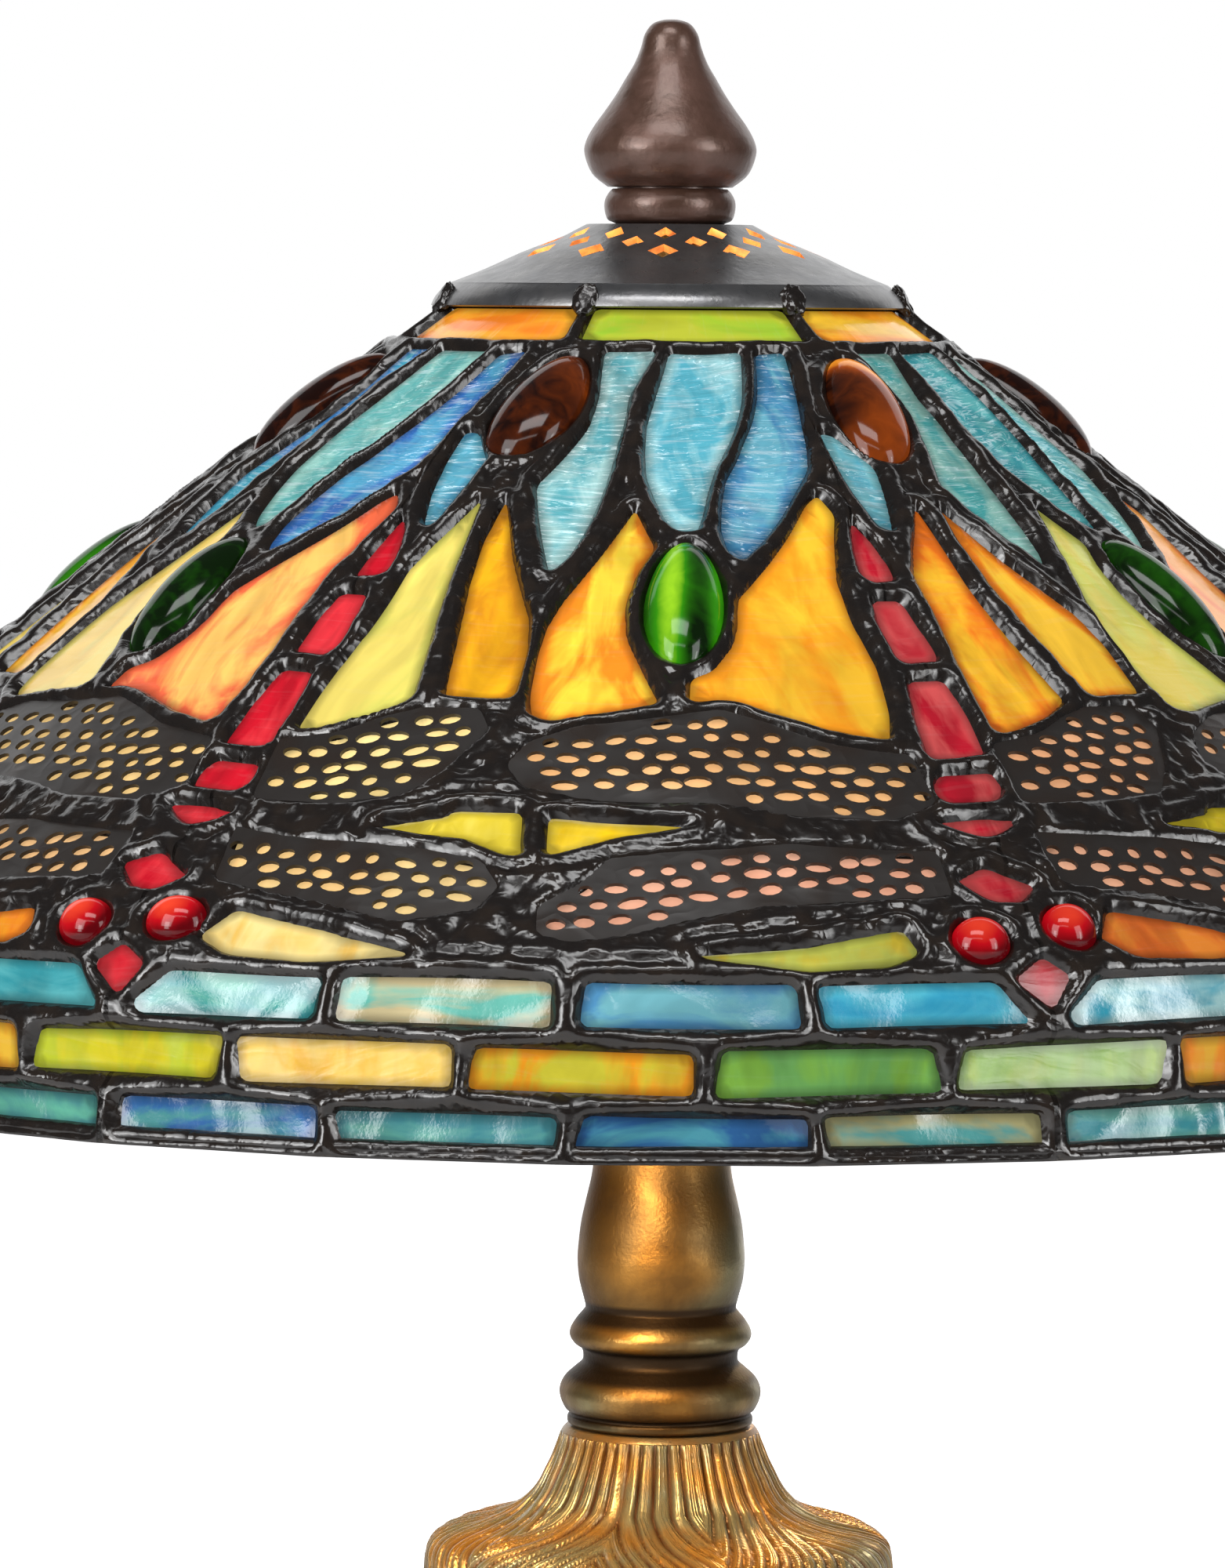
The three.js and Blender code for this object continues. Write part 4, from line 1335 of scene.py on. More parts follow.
class LAMP_OT_jewels(PieceOperator, bpy.types.Operator):
    """Seat the brown and green jewels and the dragonflies' red eyes"""

    bl_idname = "lamp.jewels"
    bl_label = "Jewels"

    def execute(self, context):
        kinds = (("brown_jewel", (BROWN_JEWEL,), "amber_glass", "petal_glass"),
                 ("green_jewel", (GREEN_JEWEL,), "green_glass", "ray_glass"),
                 ("eyes", EYES, "red_glass", "wing_panel"))
        for sector in range(SECTORS):
            for name, jewels, slot, stands_for in kinds:
                bm = bmesh.new()
                for jewel in jewels:
                    add_jewel(bm, name, jewel, sector)
                material = finish("red_jewel" if name == "eyes" else name)
                show(f"{name}_{sector + 1}", bm, material, "shade", slot,
                     f"{stands_for}_{sector + 1}")
        return {"FINISHED"}


class LAMP_OT_bricks(PieceOperator, bpy.types.Operator):
    """Cut the collar strips and the three rows of bricks round the rim"""

    bl_idname = "lamp.bricks"
    bl_label = "Collar and bricks"

    def execute(self, context):
        collar = bmesh.new()
        for sector in range(SECTORS):
            look = {"colours": fan_look(COLLAR_LOOKS, sector), "angle": 90}
            add_pane(collar, collar_strip(), sector, look, f"collar{sector}", flat=0.0, cell=3.0)
        show("collar_strips", collar, finish("smooth_glass"), "shade", "green_glass",
             "collar_glass")
        rows = (("upper_border_glass", "opal_bricks", "blue_glass"),
                ("middle_border_glass", "smooth_glass", "green_glass"),
                ("lower_border_glass", "opal_bricks", "blue_glass"))
        for row, (cad_node, material, slot) in zip(BRICK_ROWS, rows):
            bm = bmesh.new()
            for sector in range(SECTORS):
                looks = fan_look(BRICK_LOOKS[row["name"]], sector)
                for i in range(4):
                    angle = 0 if row["name"] == "middle_bricks" else 88
                    look = {"colours": looks[i], "angle": angle}
                    add_pane(bm, brick(row, i), sector, look, f"{row['name']}{i}{sector}",
                             flat=0.9)
            show(row["name"], bm, finish(material), "shade", slot, cad_node)
        return {"FINISHED"}


class SolderSkin:
    """The solder of one sector, as a grid on the pattern with the panes cut out of it."""

    TURN_STEP = 0.30  # degrees
    SLANT_STEP = 0.68  # mm
    TOP = -2.2  # slant where the skin ends, under the cap
    TUCK = 0.75  # how far the skin runs on under the edge of a pane, mm

    def __init__(self):
        columns = round(SECTOR / self.TURN_STEP) + 1
        rows = round((SLANT_END - self.TOP) / self.SLANT_STEP)
        self.bm = bmesh.new()
        bmesh.ops.create_grid(self.bm, x_segments=columns, y_segments=rows, size=0.5)
        width = SECTOR * (columns / (columns - 1))
        for v in self.bm.verts:
            v.co = Vector(((v.co.x + 0.5) * width,
                           self.TOP + (v.co.y + 0.5) * (SLANT_END - self.TOP), 0))
        layers = [self.bm.verts.layers.float.new(name) for name in ("pane", "wing")]
        for layer, outlines in zip(layers, (pane_outlines(), softened(WINGS.values()))):
            for v, gap in zip(self.bm.verts, self.gaps(outlines)):
                v[layer] = gap
        pane, wing = layers
        covered = [f for f in self.bm.faces
                   if max(min(v[pane], v[wing]) for v in f.verts) < -self.TUCK]
        bmesh.ops.delete(self.bm, geom=covered, context="FACES")
        made = bmesh.ops.extrude_face_region(self.bm, geom=self.bm.faces[:])
        for v in made["geom"]:
            if isinstance(v, bmesh.types.BMVert):
                v.co.z = -1
        bmesh.ops.recalc_face_normals(self.bm, faces=self.bm.faces[:])
        walls = [f for f in self.bm.faces
                 if all(v.co.x < 1e-4 for v in f.verts)
                 or all(v.co.x > width - 1e-4 for v in f.verts)]
        bmesh.ops.delete(self.bm, geom=walls, context="FACES_ONLY")
        self.gap = np.array([v[pane] for v in self.bm.verts])
        self.wing_gap = np.array([v[wing] for v in self.bm.verts])
        self.inner = np.array([v.co.z < -0.5 for v in self.bm.verts])
        self.flat = np.array([v.co[:] for v in self.bm.verts])

    def gaps(self, outlines):
        """Distance from each vertex to the nearest outline, negative within one."""
        co = np.array([v.co[:] for v in self.bm.verts])
        least = np.full(len(co), 6.0)
        for outline in outlines:
            for shift in (-SECTOR, 0, SECTOR):
                moved = [(u + shift, s) for u, s in outline]
                least = np.minimum(least, clearance(co[:, 0], co[:, 1], moved))
        return least

    def lift(self, azimuth):
        """Lift of the skin off the form: a bead round each pane, lumped and puckered by hand."""
        shade = settings().shade
        glass = -shade.glass_depth
        half = shade.bead_half_width
        share = np.clip(self.gap / half, 0, 1)
        bead = shade.bead_height * np.maximum(0, 1 - (1 - share) ** 2) ** 0.72
        # Wide places are filled with further beads that follow the first.
        wide = smoothstep(self.gap, half, half + 1.2)
        bead = bead + wide * (0.22 * np.cos((self.gap - half) * 2.1) - 0.42)
        outer = glass + bead + np.minimum(self.gap, 0) * 1.3
        beside = np.clip(self.wing_gap / 1.6, 0, 1)
        by_wing = -0.12 + 0.75 * np.sqrt(np.maximum(0, 1 - (1 - beside) ** 2))
        by_wing = by_wing + np.minimum(self.wing_gap, 0) * 1.3
        outer = np.where(self.wing_gap < 1.6, np.minimum(outer, by_wing), outer)
        back = glass - shade.glass_thickness
        inner = back - 0.55 * bead - np.minimum(self.gap, 0) * 1.0
        roam = on_shade(azimuth + self.flat[:, 0], self.flat[:, 1], 0) / MM
        lumps = np.array([noise.noise(Vector(p) / 4.6) for p in roam])
        beads = np.array([noise.noise(Vector(p) / 1.9 + Vector((7, 3, 1))) for p in roam])
        creases = np.array([abs(noise.noise(Vector(p) / 2.4 + Vector((1, 9, 4)))) for p in roam])
        free = smoothstep(self.gap, 0.0, 1.2) * smoothstep(self.wing_gap, -0.2, 1.2)
        rough = 0.40 * lumps + 0.14 * beads + (0.1 + 0.9 * wide) * (0.14 - 0.55 * creases)
        return np.where(self.inner, inner, outer + rough * free)

    def mesh(self, azimuth):
        made = bpy.data.meshes.new("solder")
        self.bm.to_mesh(made)
        bend_to_form(made, azimuth, self.lift(azimuth))
        return made


class LAMP_OT_solder(PieceOperator, bpy.types.Operator):
    """Run the solder over every joint of the shade"""

    bl_idname = "lamp.solder"
    bl_label = "Solder"

    def execute(self, context):
        skin = SolderSkin()
        for sector in range(SECTORS):
            mesh = skin.mesh(FIRST_DRAGONFLY + sector * SECTOR)
            show(f"solder_{sector + 1}", mesh, finish("solder"), "shade", "solder",
                 "solder_lattice")
        skin.bm.free()
        return {"FINISHED"}


class LAMP_OT_tacks(PieceOperator, bpy.types.Operator):
    """Tack the shade to the cap with a blob of solder at each long joint"""

    bl_idname = "lamp.tacks"
    bl_label = "Cap tacks"

    def execute(self, context):
        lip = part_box("vented_cap")[0].z
        bm = bmesh.new()
        for sector in range(SECTORS):
            azimuth = math.radians(FIRST_DRAGONFLY + JEWEL_LINE + sector * SECTOR)
            made = bmesh.ops.create_icosphere(bm, subdivisions=4, radius=1)["verts"]
            for v in made:
                lump = 1 + 0.22 * noise.noise(v.co * 1.9 + Vector((sector * 3, 0, 0)))
                lump += 0.10 * noise.noise(v.co * 5 + Vector((0, sector, 0)))
                flat = Vector((v.co.x * 2.1, -v.co.y * 1.1, v.co.z * 2.5)) * lump * MM
                flat.y *= 1.0 + 0.8 * max(0.0, -v.co.z)
                out = 0.0363 - flat.y - 0.35 * flat.z
                v.co = Vector((math.sin(azimuth) * out + math.cos(azimuth) * flat.x,
                               -math.cos(azimuth) * out + math.sin(azimuth) * flat.x,
                               lip + 0.0008 + flat.z))
        bmesh.ops.recalc_face_normals(bm, faces=bm.faces[:])
        show("cap_tacks", bm, finish("solder"), "shade", "solder", "solder_lattice")
        return {"FINISHED"}


class LAMP_OT_rim_wire(PieceOperator, bpy.types.Operator):
    """Bend the tinned wire round the shade's lower edge"""

    bl_idname = "lamp.rim_wire"
    bl_label = "Rim wire"

    def execute(self, context):
        steps = FACETS * 10
        bm = bmesh.new()
        bmesh.ops.create_grid(bm, x_segments=steps, y_segments=12, size=0.5)
        wire = 1.5  # half the height of the wire and the solder on it, mm
        for v in bm.verts:
            azimuth = (v.co.x + 0.5) * 360
            around = (v.co.y + 0.5) * 2 * math.pi
            lump = 1 + 0.12 * noise.noise(Vector((math.cos(math.radians(azimuth)) * 24,
                                                  math.sin(math.radians(azimuth)) * 24, 0)))
            slant = SLANT_END - 1.35 + wire * lump * math.sin(around) * 0.9
            lift = -1.6 + wire * lump * 1.35 * math.cos(around)
            v.co = on_shade(azimuth + FIRST_DRAGONFLY, min(slant, SLANT_END), lift)
        bmesh.ops.remove_doubles(bm, verts=bm.verts[:], dist=2e-5)
        bmesh.ops.recalc_face_normals(bm, faces=bm.faces[:])
        show("rim_wire", bm, finish("solder"), "shade", "solder", "rim_ring", crease=80)
        return {"FINISHED"}


# ---------------------------------------------------------------- operators: cap and finial


VENTS_IN_ROW = 12
VENT_ROWS = (  # radius, width, length and shift in steps round the cap, in millimetres
    (15.7, 3.4, 3.6, 0.0),
    (18.7, 3.5, 4.2, 0.5),
    (22.2, 4.7, 5.0, 0.0),
)
FIRST_VENT = math.radians(-3)
VENT_PUNCH = 12  # length in millimetres of the cutter that goes through the slope
VENT_PUNCH_DROP = 3  # how far below the cap's top the middle of the cutter lies


class LAMP_OT_cap(PieceOperator, bpy.types.Operator):
    """Spin the vented cap and pierce its diamonds"""

    bl_idname = "lamp.cap"
    bl_label = "Vented cap"

    def execute(self, context):
        low, high = box_mm("vented_cap")
        top, lip = high.z, low.z
        slope = smooth_curve([(12.9, top), (14.6, top - 0.9), (17, top - 2.1),
                              (23.1, top - 4.5), (28.5, top - 7.0), (34.0, top - 9.2)], 3)
        hem = smooth_curve([(34.1, top - 9.3), (35.3, top - 10.2), (36.3, top - 11.3),
                            (36.9, top - 12.5), (36.9, lip - 0.2)], 3)
        hem += [(36.5, lip - 0.4), (36.2, lip)]
        under = [(33.4, top - 9.9), (28.2, top - 7.8), (16.5, top - 2.9), (12.7, top - 1.1),
                 (5.6, top - 1.0)]
        profile = [(5.6, top), *slope, *hem, *under]
        bm = turned(profile, 120, closed=True)
        # Faces under the cap take the painted glow of the lit metal inside.
        for face in bm.faces:
            if face.normal.z < -0.3 and math.hypot(*face.calc_center_median().xy) < 34 * MM:
                face.material_index = 1
        cap = show("cap_vented", bm, finish("cap"), "shade", "gunmetal", "vented_cap", crease=18)
        cap.data.materials.append(finish("painted_glow_inside"))

        vents = bmesh.new()
        for radius, width, length, shift in VENT_ROWS:
            for i in range(VENTS_IN_ROW):
                angle = FIRST_VENT + (i + shift) * 2 * math.pi / VENTS_IN_ROW
                ring = bmesh.ops.create_cone(vents, segments=4, cap_ends=True, radius1=0.5,
                                             radius2=0.5, depth=VENT_PUNCH)["verts"]
                size = Matrix.Diagonal((width, length, 1, 1))
                spot = Matrix.Translation((0, -radius, top - VENT_PUNCH_DROP))
                place = Matrix.Rotation(angle, 4, "Z") @ spot @ size
                bmesh.ops.transform(vents, matrix=Matrix.Scale(MM, 4) @ place, verts=ring)
        # The vents' walls take the painted glow as well.
        for face in vents.faces:
            face.material_index = 1
        mesh = bpy.data.meshes.new("vents")
        vents.to_mesh(mesh)
        vents.free()
        punch = bpy.data.objects.new("vents", mesh)
        bpy.context.scene.collection.objects.link(punch)
        pierce = cap.modifiers.new("pierce", "BOOLEAN")
        pierce.object = punch
        pierce.operation = "DIFFERENCE"
        pierce.solver = "EXACT"
        pierce.material_mode = "INDEX"
        bpy.context.view_layer.update()
        pierced = bpy.data.meshes.new_from_object(
            cap.evaluated_get(bpy.context.evaluated_depsgraph_get()))
        cap.modifiers.clear()
        cap.data = pierced
        bpy.data.objects.remove(punch)
        return {"FINISHED"}


class LAMP_OT_finial(PieceOperator, bpy.types.Operator):
    """Turn the teardrop finial and the collar below it"""

    bl_idname = "lamp.finial"
    bl_label = "Finial"

    def execute(self, context):
        low, high = box_mm("finial")
        seam, tip = low.z, high.z
        bell = smooth_curve([(9.7, seam), (12.1, seam + 2.0), (13.3, seam + 5.0),
                             (13.1, seam + 7.0), (11.9, seam + 9.3), (10.2, seam + 11.7),
                             (8.5, seam + 14.2), (7.1, seam + 16.6), (5.7, seam + 19.0),
                             (4.7, seam + 21.5), (4.1, seam + 23.6), (2.9, seam + 25.2),
                             (1.2, tip), (0.0, tip + 0.05)], 5)
        bore = [(0, seam + 12), (5.3, seam + 12), (5.3, seam)]
        bm = turned([*bore, *bell], 96)
        show("finial_drop", bm, finish("finial"), "finial", "dark_bronze", "finial")
        low, high = box_mm("finial_collar")
        bottom, top = low.z, high.z
        ring = smooth_curve([(8.8, bottom), (9.7, bottom + 0.5), (10.15, bottom + 2.0),
                             (10.1, bottom + 3.4), (9.5, bottom + 4.6), (8.9, top)], 4)
        seat = [(8.2, top), (8.2, seam - 0.05), (5.3, seam - 0.05)]
        bm = turned([(5.3, bottom - 0.2), (8.4, bottom - 0.2), *ring, *seat], 96, closed=True)
        show("finial_ring", bm, finish("finial"), "finial", "dark_bronze", "finial_collar")
        return {"FINISHED"}


# ---------------------------------------------------------------- operators: light cluster


SOCKET_TILT = 10  # each socket's rise above level, degrees
SOCKET_AZIMUTH = {"front": -17, "back": 163}  # degrees


def socket_frame(side):
    """Matrix that stands a shape, turned about +Z, on a socket's axis."""
    hub_low, hub_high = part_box("cluster_hub")
    hub = Vector((0, 0, (hub_low.z + hub_high.z) / 2))
    azimuth, tilt = math.radians(SOCKET_AZIMUTH[side]), math.radians(SOCKET_TILT)
    along = Vector((math.sin(azimuth) * math.cos(tilt), -math.cos(azimuth) * math.cos(tilt),
                    math.sin(tilt)))
    across = Vector((-along.y, along.x, 0)).normalized()
    up = along.cross(across)
    turn = Matrix((across, up, along)).transposed().to_4x4()
    return Matrix.Translation(hub) @ turn


class LAMP_OT_sockets(PieceOperator, bpy.types.Operator):
    """Draw the brass sockets with their turn keys"""

    bl_idname = "lamp.sockets"
    bl_label = "Sockets and keys"

    def execute(self, context):
        for side in ("front", "back"):
            place = socket_frame(side)
            beads = [(16.5, z + d) for z in (44, 47) for d in (-0.8, 0.8)]
            shell = [(0.01, 22), (8, 22), (11, 22.6), (13.8, 24.4), (16, 28), (16.6, 31),
                     (16.6, 33), (15.9, 33.6), (15.9, 35), (16.6, 35.6), beads[0], (17.1, 44),
                     beads[1], beads[2], (17.1, 47), beads[3], (16.6, 54.4), (16.2, 55),
                     (14.6, 55), (14.2, 54.4), (14.2, 34), (0.01, 34)]
            bm = turned(shell, 64)
            bmesh.ops.transform(bm, matrix=place, verts=bm.verts[:])
            show(f"{side}_socket_shell", bm, finish("brass"), "stand", "brass",
                 f"{side}_socket")

            low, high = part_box(f"{side}_turn_key")
            centre = (low + high) / 2
            across = Vector((centre.x, centre.y, 0)) - Vector(
                ((place @ Vector((0, 0, 0.03))).x, (place @ Vector((0, 0, 0.03))).y, 0))
            across.normalize()
            along = (place.to_3x3() @ Vector((0, 0, 1))).normalized()
            turn = Matrix((across, along.cross(across), along)).transposed().to_4x4()
            seat = Matrix.Translation(place @ Vector((0, 0, 0.03))) @ turn
            bm = bmesh.new()
            stem = bmesh.ops.create_cone(bm, segments=24, cap_ends=True, radius1=1.9 * MM,
                                         radius2=1.9 * MM, depth=12.5 * MM)["verts"]
            bmesh.ops.transform(
                bm, matrix=Matrix.Translation((0.0177, 0, 0)) @ Matrix.Rotation(
                    math.pi / 2, 4, "Y"), verts=stem)
            blade = bmesh.ops.create_uvsphere(bm, u_segments=32, v_segments=18, radius=1)["verts"]
            size = Matrix.Diagonal((6.4 * MM, 1.9 * MM, 4.7 * MM, 1))
            bmesh.ops.transform(bm, matrix=Matrix.Translation((0.0275, 0, 0)) @ size, verts=blade)
            bmesh.ops.transform(bm, matrix=seat, verts=bm.verts[:])
            show(f"{side}_key", bm, finish("phenolic"), f"{side}_key", "black_plastic",
                 f"{side}_turn_key")
        return {"FINISHED"}


class LAMP_OT_bulbs(PieceOperator, bpy.types.Operator):
    """Blow the two round bulbs and roll their screw bases"""

    bl_idname = "lamp.bulbs"
    bl_label = "Bulbs"

    def execute(self, context):
        for side in ("front", "back"):
            place = socket_frame(side)
            globe = [(0.01, 58.4), (12.4, 58.4), (12.6, 60), (13.4, 64)]
            for i in range(25):
                angle = math.radians(-46 + 136 * i / 24)
                globe.append((max(0.01, 21 * math.cos(angle)), 86 + 21 * math.sin(angle)))
            bm = turned(globe, 64)
            bmesh.ops.transform(bm, matrix=place, verts=bm.verts[:])
            show(f"{side}_bulb", bm, finish("bulb"), f"{side}_bulb", "bulb_glass",
                 f"{side}_bulb_glass", crease=60)
            thread = [(0.01, 35.2), (4, 35.2), (5, 36), (8.6, 38.6), (12, 39.6)]
            for turn_number in range(6):
                z = 40.6 + turn_number * 2.4
                thread += [(12.2, z), (12.9, z + 0.7), (12.9, z + 1.2), (12.2, z + 1.9)]
            thread += [(12.6, 56), (12.9, 57), (12.6, 58), (0.01, 58)]
            bm = turned(thread, 64)
            bmesh.ops.transform(bm, matrix=place, verts=bm.verts[:])
            show(f"{side}_bulb_screw", bm, finish("brass"), f"{side}_bulb", "brass",
                 f"{side}_bulb_base")
        return {"FINISHED"}


class LAMP_OT_fittings(PieceOperator, bpy.types.Operator):
    """Finish the turned fittings, washers and nuts that keep their plain shape"""

    bl_idname = "lamp.fittings"
    bl_label = "Fittings"

    def execute(self, context):
        fittings = {
            "brass": ("cluster_hub", "seat_nut", "shade_rod", "stem_washer",
                      "front_socket_nipple", "back_socket_nipple"),
            "steel": ("lamp_pipe", "foot_nut"),
            "iron": ("ballast_plate",),
            "phenolic": ("lead_bushing",),
            "felt": ("felt_pad",),
            # The inner cap takes the painted glow of the bulbs' light.
            "painted_glow_inside": ("inner_cap",),
        }
        for material, names in fittings.items():
            for name in names:
                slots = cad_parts[name].data.materials
                slots.clear()
                slots.append(finish(material))
        return {"FINISHED"}


# ---------------------------------------------------------------- operators: the base


class LAMP_OT_column(PieceOperator, bpy.types.Operator):
    """Turn the column with its barrel, ring and torus"""

    bl_idname = "lamp.column"
    bl_label = "Column"

    def execute(self, context):
        low, high = box_mm("column")
        rim = RIM / MM
        outline = [(9.6, 0), (9.9, -8), (10.6, -16), (11.0, -19.6), (11.9, -23.6), (12.6, -27),
                   (13.0, -30.6), (13.1, -33), (12.8, -36), (12.1, -38.8), (11.8, -40.2),
                   (12.2, -40.9), (13.2, -42.1), (14.1, -43.6), (14.2, -44.8), (13.5, -45.9),
                   (12.4, -46.7), (12.1, -47.8), (12.3, -48.8), (13.4, -49.8), (15.0, -51.3),
                   (15.75, -53.0), (15.6, -54.6), (14.9, -56.1), (14.3, -56.6), (14.15, -57.0),
                   (14.5, -57.4), (14.5, -58.2), (14.0, low.z - rim)]
        curve = [(r, rim + z) for r, z in smooth_curve(outline, 5)]
        bm = turned([(5.3, high.z), *curve, (5.3, low.z)], 128, closed=True)
        mark_hollows(bm, curve, 2.6, 1.3)
        show("column_turning", bm, finish("turned_bronze"), "stand", "bronze", "column",
             crease=50)
        return {"FINISHED"}


LEAVES = 5  # long leaves cast round the base
NECK_LENGTH = 12.5  # the ribs run straight down this far, mm
SWEEP_LENGTH = 26.0  # and then spread from each leaf's midrib over this much of the shoulder
SWEEP = 0.85  # degrees for each millimetre
RIB_SPACING = 7.6  # degrees


def leaf_phase(turn, leaf, along):
    """Degrees across a leaf's ribs at a place, for a turn in degrees about the axis."""
    from_midrib = abs(turn - (leaf + 0.5) * 360 / LEAVES)
    swept = SWEEP * min(max(0.0, along - NECK_LENGTH), SWEEP_LENGTH)
    wander = 1.2 * noise.noise(Vector((turn / 17, along / 30, leaf)))
    return from_midrib - swept + wander


def rib_height(phase, leaf, along):
    """Height of the cast ribs: 0 in a groove and 1 on a rib's back. Each splits in two below."""
    phase += 1.2 * noise.noise(Vector((phase / 6, along / 70, leaf * 3.7)))
    split = min(1.0, max(0.0, (along - 13) / 12))
    broad = abs(math.sin(math.pi * phase / RIB_SPACING)) ** 0.7
    narrow = abs(math.sin(2 * math.pi * phase / RIB_SPACING)) ** 0.7
    worn = 0.85 + 0.5 * noise.noise(Vector((phase / 5, along / 16, leaf * 5.1)))
    return max(0.0, min(1.0, (broad * (1 - split) + narrow * split) * worn))


def bark(profile, curve, steps, depth_at):
    """A casting turned from a profile, with leaf ribs down the part of it that is the curve."""
    bm = turned(profile, steps, closed=True)
    heights = np.array([z for _, z in curve])
    radii = np.array([r for r, _ in curve])
    run = np.concatenate([[0], np.cumsum(np.hypot(np.diff(heights), np.diff(radii)))])
    order = np.argsort(heights)
    heights, radii, run = heights[order], radii[order], run[order]
    hollow = bm.verts.layers.float.new("hollow")
    grain = bm.loops.layers.uv.new("bark")
    depth = settings().base.furrow_depth
    width = 360 / LEAVES
    bm.normal_update()
    moves = []
    for v in bm.verts:
        z, r = v.co.z / MM, math.hypot(v.co.x, v.co.y) / MM
        outside = r > np.interp(z, heights, radii) - 0.6
        amount = depth_at(z) if outside else 0
        v[hollow] = 0.5
        if amount <= 0:
            continue
        turn = math.degrees(math.atan2(v.co.y, v.co.x)) % 360
        along = float(np.interp(z, heights, run))
        leaf = int(turn / width)
        height = rib_height(leaf_phase(turn, leaf, along), leaf, along)
        v[hollow] = 1 - min(1.0, height * 1.25)
        moves.append((v, v.normal * (height - 1) * depth * amount * MM))
    for face in bm.faces:
        centre = face.calc_center_median()
        leaf = int(math.degrees(math.atan2(centre.y, centre.x)) % 360 / width)
        middle = (leaf + 0.5) * width
        for loop in face.loops:
            co = loop.vert.co
            turn = math.degrees(math.atan2(co.y, co.x)) % 360
            turn = middle + (turn - middle + 180) % 360 - 180
            along = float(np.interp(co.z / MM, heights, run))
            loop[grain].uv = (leaf_phase(turn, leaf, along) / 2.4 + leaf * 31, along / 10)
    for v, move in moves:
        v.co += move
    return bm


class LAMP_OT_body(PieceOperator, bpy.types.Operator):
    """Cast the baluster body with bark furrows"""

    bl_idname = "lamp.body"
    bl_label = "Baluster body"

    def execute(self, context):
        low, high = box_mm("baluster_body")
        bottom, top = low.z, high.z
        outline = [(14.7, top), (15.2, top - 0.5), (15.7, top - 1.4), (16.4, top - 3.2),
                   (17.2, top - 5.2), (18.2, top - 7.2), (19.1, top - 9.0), (20.6, top - 11.0),
                   (23.2, top - 13.0), (27.4, top - 14.7), (32.2, top - 16.0),
                   (35.0, top - 17.2), (36.4, top - 18.9), (36.9, top - 21.5),
                   (37.1, top - 30), (36.4, top - 44), (34.4, top - 60), (30.6, top - 80),
                   (26.2, top - 100), (22.2, top - 120), (18.9, top - 138), (17.2, top - 148),
                   (16.5, top - 156), (17.0, top - 162), (19.0, top - 164.6),
                   (21.9, top - 166.6), (22.7, top - 169), (21.6, bottom + 1.2), (18.6, bottom)]
        curve = smooth_curve(outline, 5)
        profile = [(5.5, top), *curve, (5.5, bottom)]

        def depth_at(z):
            neck = min(1.0, max(0.0, (top - z - 0.9) / 1.5))
            return neck * (1 - float(smoothstep(np.float64(top - z), 156, 162)))

        bm = bark(profile, curve, 560, depth_at)
        show("baluster", bm, finish("bark_bronze"), "stand", "bronze", "baluster_body",
             crease=70)
        return {"FINISHED"}


class LAMP_OT_foot(PieceOperator, bpy.types.Operator):
    """Cast the spreading foot"""

    bl_idname = "lamp.foot"
    bl_label = "Foot"

    def execute(self, context):
        low, high = box_mm("cast_foot")
        bottom, top = low.z, high.z
        outline = [(17.6, top), (18.8, top - 1.2), (19.0, top - 6), (20.2, top - 14),
                   (23.6, top - 24), (32.0, top - 35), (46.5, top - 43.5), (59.5, top - 48.0),
                   (67.6, top - 51.6), (70.8, top - 55.4), (71.2, top - 58.6), (70.2, bottom + 0.8),
                   (69.4, bottom)]
        curve = smooth_curve(outline, 8)
        inside = [(66, bottom), (62, 10.6), (44, 15.6), (24, 25.6), (12, 46), (5.5, 52)]
        profile = [(5.5, top), *curve, *inside]
        bm = bark(profile, curve, 560, lambda z: min(1.0, max(0.0, (top - z) / 5)))
        show("foot_casting", bm, finish("bark_bronze"), "stand", "bronze", "cast_foot",
             crease=70)
        return {"FINISHED"}


# ---------------------------------------------------------------- operators: the stage


BULB_LIGHT_RADIUS = 0.024  # metres
BULB_LIGHT_DROP = 0.03  # metres below the bulb's centre


def soft_light(name, place, aim, size, power):
    light = bpy.data.lights.new(name, "AREA")
    light.shape = "RECTANGLE"
    light.size, light.size_y = size
    light.energy = power
    lamp = bpy.data.objects.new(name, light)
    lamp.location = place
    lamp.rotation_mode = "QUATERNION"
    lamp.rotation_quaternion = (Vector(aim) - Vector(place)).to_track_quat("-Z", "Y")
    bpy.context.scene.collection.objects.link(lamp)


